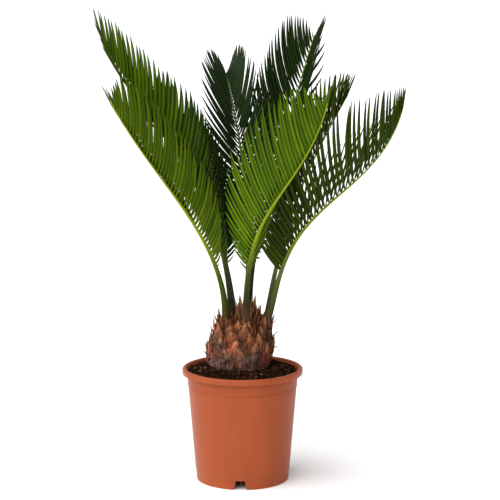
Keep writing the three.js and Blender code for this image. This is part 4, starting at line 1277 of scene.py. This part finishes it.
def mix_mesh(around=240):
    """The filling of the pot: bottom, side, and a top of (radius, bearing) raised by ripples."""
    side_height = np.array([FLOOR_TOP + 0.4, FLOOR_TOP + 0.5, 60, 110, 148])
    side_radius = wall_radius(side_height) - POT_WALL - 0.4
    side_radius[0] -= 2
    top_radius = np.linspace(wall_radius(MIX_EDGE_HEIGHT - 2) - POT_WALL - 0.5, 40, 34)
    radius = np.concatenate([side_radius, top_radius])
    height = np.concatenate([side_height, mix_height(top_radius)])
    rings = radius[:, None, None] * level_way(full_turn(around)) + UP * height[:, None, None]
    top = rings[len(side_radius) :]
    lumps = MIX_LUMP_HEIGHT * ripples(top, MIX_LUMPS, MIX_LUMP_SEED)
    rings[len(side_radius) :, :, 2] += lumps + 0.5 * ripples(top, (2.4,), 14)
    start = np.array([[0.0, 0, FLOOR_TOP + 0.4]])
    end = np.array([[0.0, 0, MIX_MOUND_HEIGHT - 4]])
    points, faces = closed_tubes(start, rings[None], end)
    return points, faces, np.zeros((len(points), 3))


def crumb_mesh(count, small, large, seed):
    """Irregular crumbs: flattened six-sided beads of random size, lying at random on the mix."""
    chance = np.random.default_rng(seed)
    radius = np.sqrt(chance.uniform(CRUMBS_FROM**2, CRUMBS_TO**2, count))
    angle = chance.uniform(0, 2 * np.pi, count)
    size = small + (large - small) * chance.power(0.35, count)
    centre = level_way(angle) * radius[:, None] + UP * mix_height(radius)[:, None]
    centre[:, 2] += MIX_LUMP_HEIGHT * ripples(centre, MIX_LUMPS, MIX_LUMP_SEED) + 0.15 * size
    way = unit(chance.normal(size=(count, 3)) * [1, 1, 0.35])
    wide = unit(np.cross(way, UP))
    deep = np.cross(way, wide)
    long = size * chance.uniform(0.5, 1.5, count)
    corner = full_turn(6)
    girth = size[:, None, None] * chance.uniform(0.28, 0.55, (count, 2, 6))
    flat = chance.uniform(0.5, 1.0, count)[:, None, None]
    spokes = (
        girth[..., None] * np.cos(corner)[:, None] * wide[:, None, None]
        + (girth * flat)[..., None] * np.sin(corner)[:, None] * deep[:, None, None]
    )
    place = np.array([-0.22, 0.22])
    line = way[:, None, None] * (long[:, None] * place)[..., None, None]
    rings = centre[:, None, None] + line + spokes
    half = way * (long * 0.5)[:, None]
    points, faces = closed_tubes(centre - half, rings, centre + half)
    own = stacked(chance.uniform(0, 1, count), size / large, 0)
    return points, faces, np.repeat(own, len(points) // count, axis=0)


# %% [markdown]
# ## Peat and bark finish
# Damp peat is nearly black and takes no shine. Each crumb carries a random number: most are dark
# brown, some are the red-brown of bark, and a few are straw or pale grit.


# %% Mix finish
def damp_peat(name):
    """Matt dark crumbs whose colour depends on a random number of their own."""
    finish, tree, shader = new_finish(name, **{"IOR": 1.4, "Roughness": 0.85, "Specular IOR Level": 0.04})
    crumb = add_node(tree, "Attribute", attribute_name="crumb")["Vector"]
    number = add_node(tree, "SeparateXYZ", {0: crumb})[0]
    place = add_node(tree, "TexCoord")["Object"]
    specks = add_node(
        tree, "TexNoise", {"Vector": place, "Scale": 420.0, "Detail": 4.0, "Roughness": 0.7}
    )[0]
    kinds = [(0.0, "160a04"), (0.55, "2a160a"), (0.85, "422716"), (0.97, "573d2c"), (1.0, "7c6654")]
    colour = add_node(tree, "ValToRGB", {0: number}, stops=kinds)[0]
    colour = painted(tree, colour, [(specks, 0.4, 0.65, 0.0, 0.7, "0a0401")])
    link_surface(tree, shader, colour, specks, 0.8, 0.0012)
    return finish


peat = damp_peat("damp peat and bark")
points, faces, values = mix_mesh()
mix = new_piece("potting_mix_fill", points, faces, peat, smooth=60)
give_values(mix, "crumb", values)
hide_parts("potting_mix")
points, faces, values = joined([crumb_mesh(5200, 1.0, 3.2, 31), crumb_mesh(420, 3.0, 6.5, 32)])
crumbs = new_piece("potting_mix_crumbs", points, faces, peat, smooth=30)
give_values(crumbs, "crumb", values)

# %% [markdown]
# ## Studio
# The plant stands on a plain pale floor under soft light: a very wide, distant source from the front
# left and above, and a pale room all round that gives the glossy leaves something to reflect. A
# distant source lights the whole floor evenly, so it stays plain to the horizon. The camera looks
# slightly down, from level with the top of the plant.

# %% Floor, lights and camera
FLOOR_REACH = 400.0
CAMERA_PLACE = (0.0105, -2.2, 0.658)
CAMERA_DIP = 8.56  # degrees below level
CAMERA_LENS = 114.75  # mm

floor_mesh = bpy.data.meshes.new("floor")
corners = [(-1, -1, 0), (1, -1, 0), (1, 1, 0), (-1, 1, 0)]
floor_mesh.from_pydata([(x * FLOOR_REACH, y * FLOOR_REACH, z) for x, y, z in corners], [], [(0, 1, 2, 3)])
floor = bpy.data.objects.new("floor", floor_mesh)
bpy.context.scene.collection.objects.link(floor)
pale, _, _ = new_finish("pale studio floor", **{"Base Color": linear("fbfbfb"), "Roughness": 0.9})
floor_mesh.materials.append(pale)

world = bpy.data.worlds.new("pale studio")
bpy.context.scene.world = world
world.use_nodes = True
sky = world.node_tree
direction = add_node(sky, "TexCoord")["Generated"]
upward = add_node(sky, "SeparateXYZ", {0: direction})[2]
walls = add_node(sky, "MapRange", {0: upward, 1: 0.1, 2: 0.4, 3: 1.05, 4: 0.3})[0]
sky.nodes["Background"].inputs["Color"].default_value = (1, 1, 1, 1)
sky.links.new(walls, sky.nodes["Background"].inputs["Strength"])


def distant_light(name, bearing, height, softness, strength):
    """Light from a bearing and a height in degrees; softness is how wide its source looks."""
    data = bpy.data.lights.new(name, "SUN")
    data.angle = math.radians(softness)
    data.energy = strength
    lamp = bpy.data.objects.new(name, data)
    bpy.context.scene.collection.objects.link(lamp)
    lamp.rotation_euler = (math.radians(90 - height), 0, math.radians(bearing + 90))


distant_light("key", bearing=-140, height=52, softness=90, strength=4.55)

camera_data = bpy.data.cameras.new("camera")
camera_data.lens = CAMERA_LENS
camera_data.sensor_width = 36
camera = bpy.data.objects.new("camera", camera_data)
bpy.context.scene.collection.objects.link(camera)
camera.location = CAMERA_PLACE
camera.rotation_euler = (math.radians(90 - CAMERA_DIP), 0, 0)
bpy.context.scene.camera = camera
bpy.context.scene.view_settings.view_transform = "Standard"
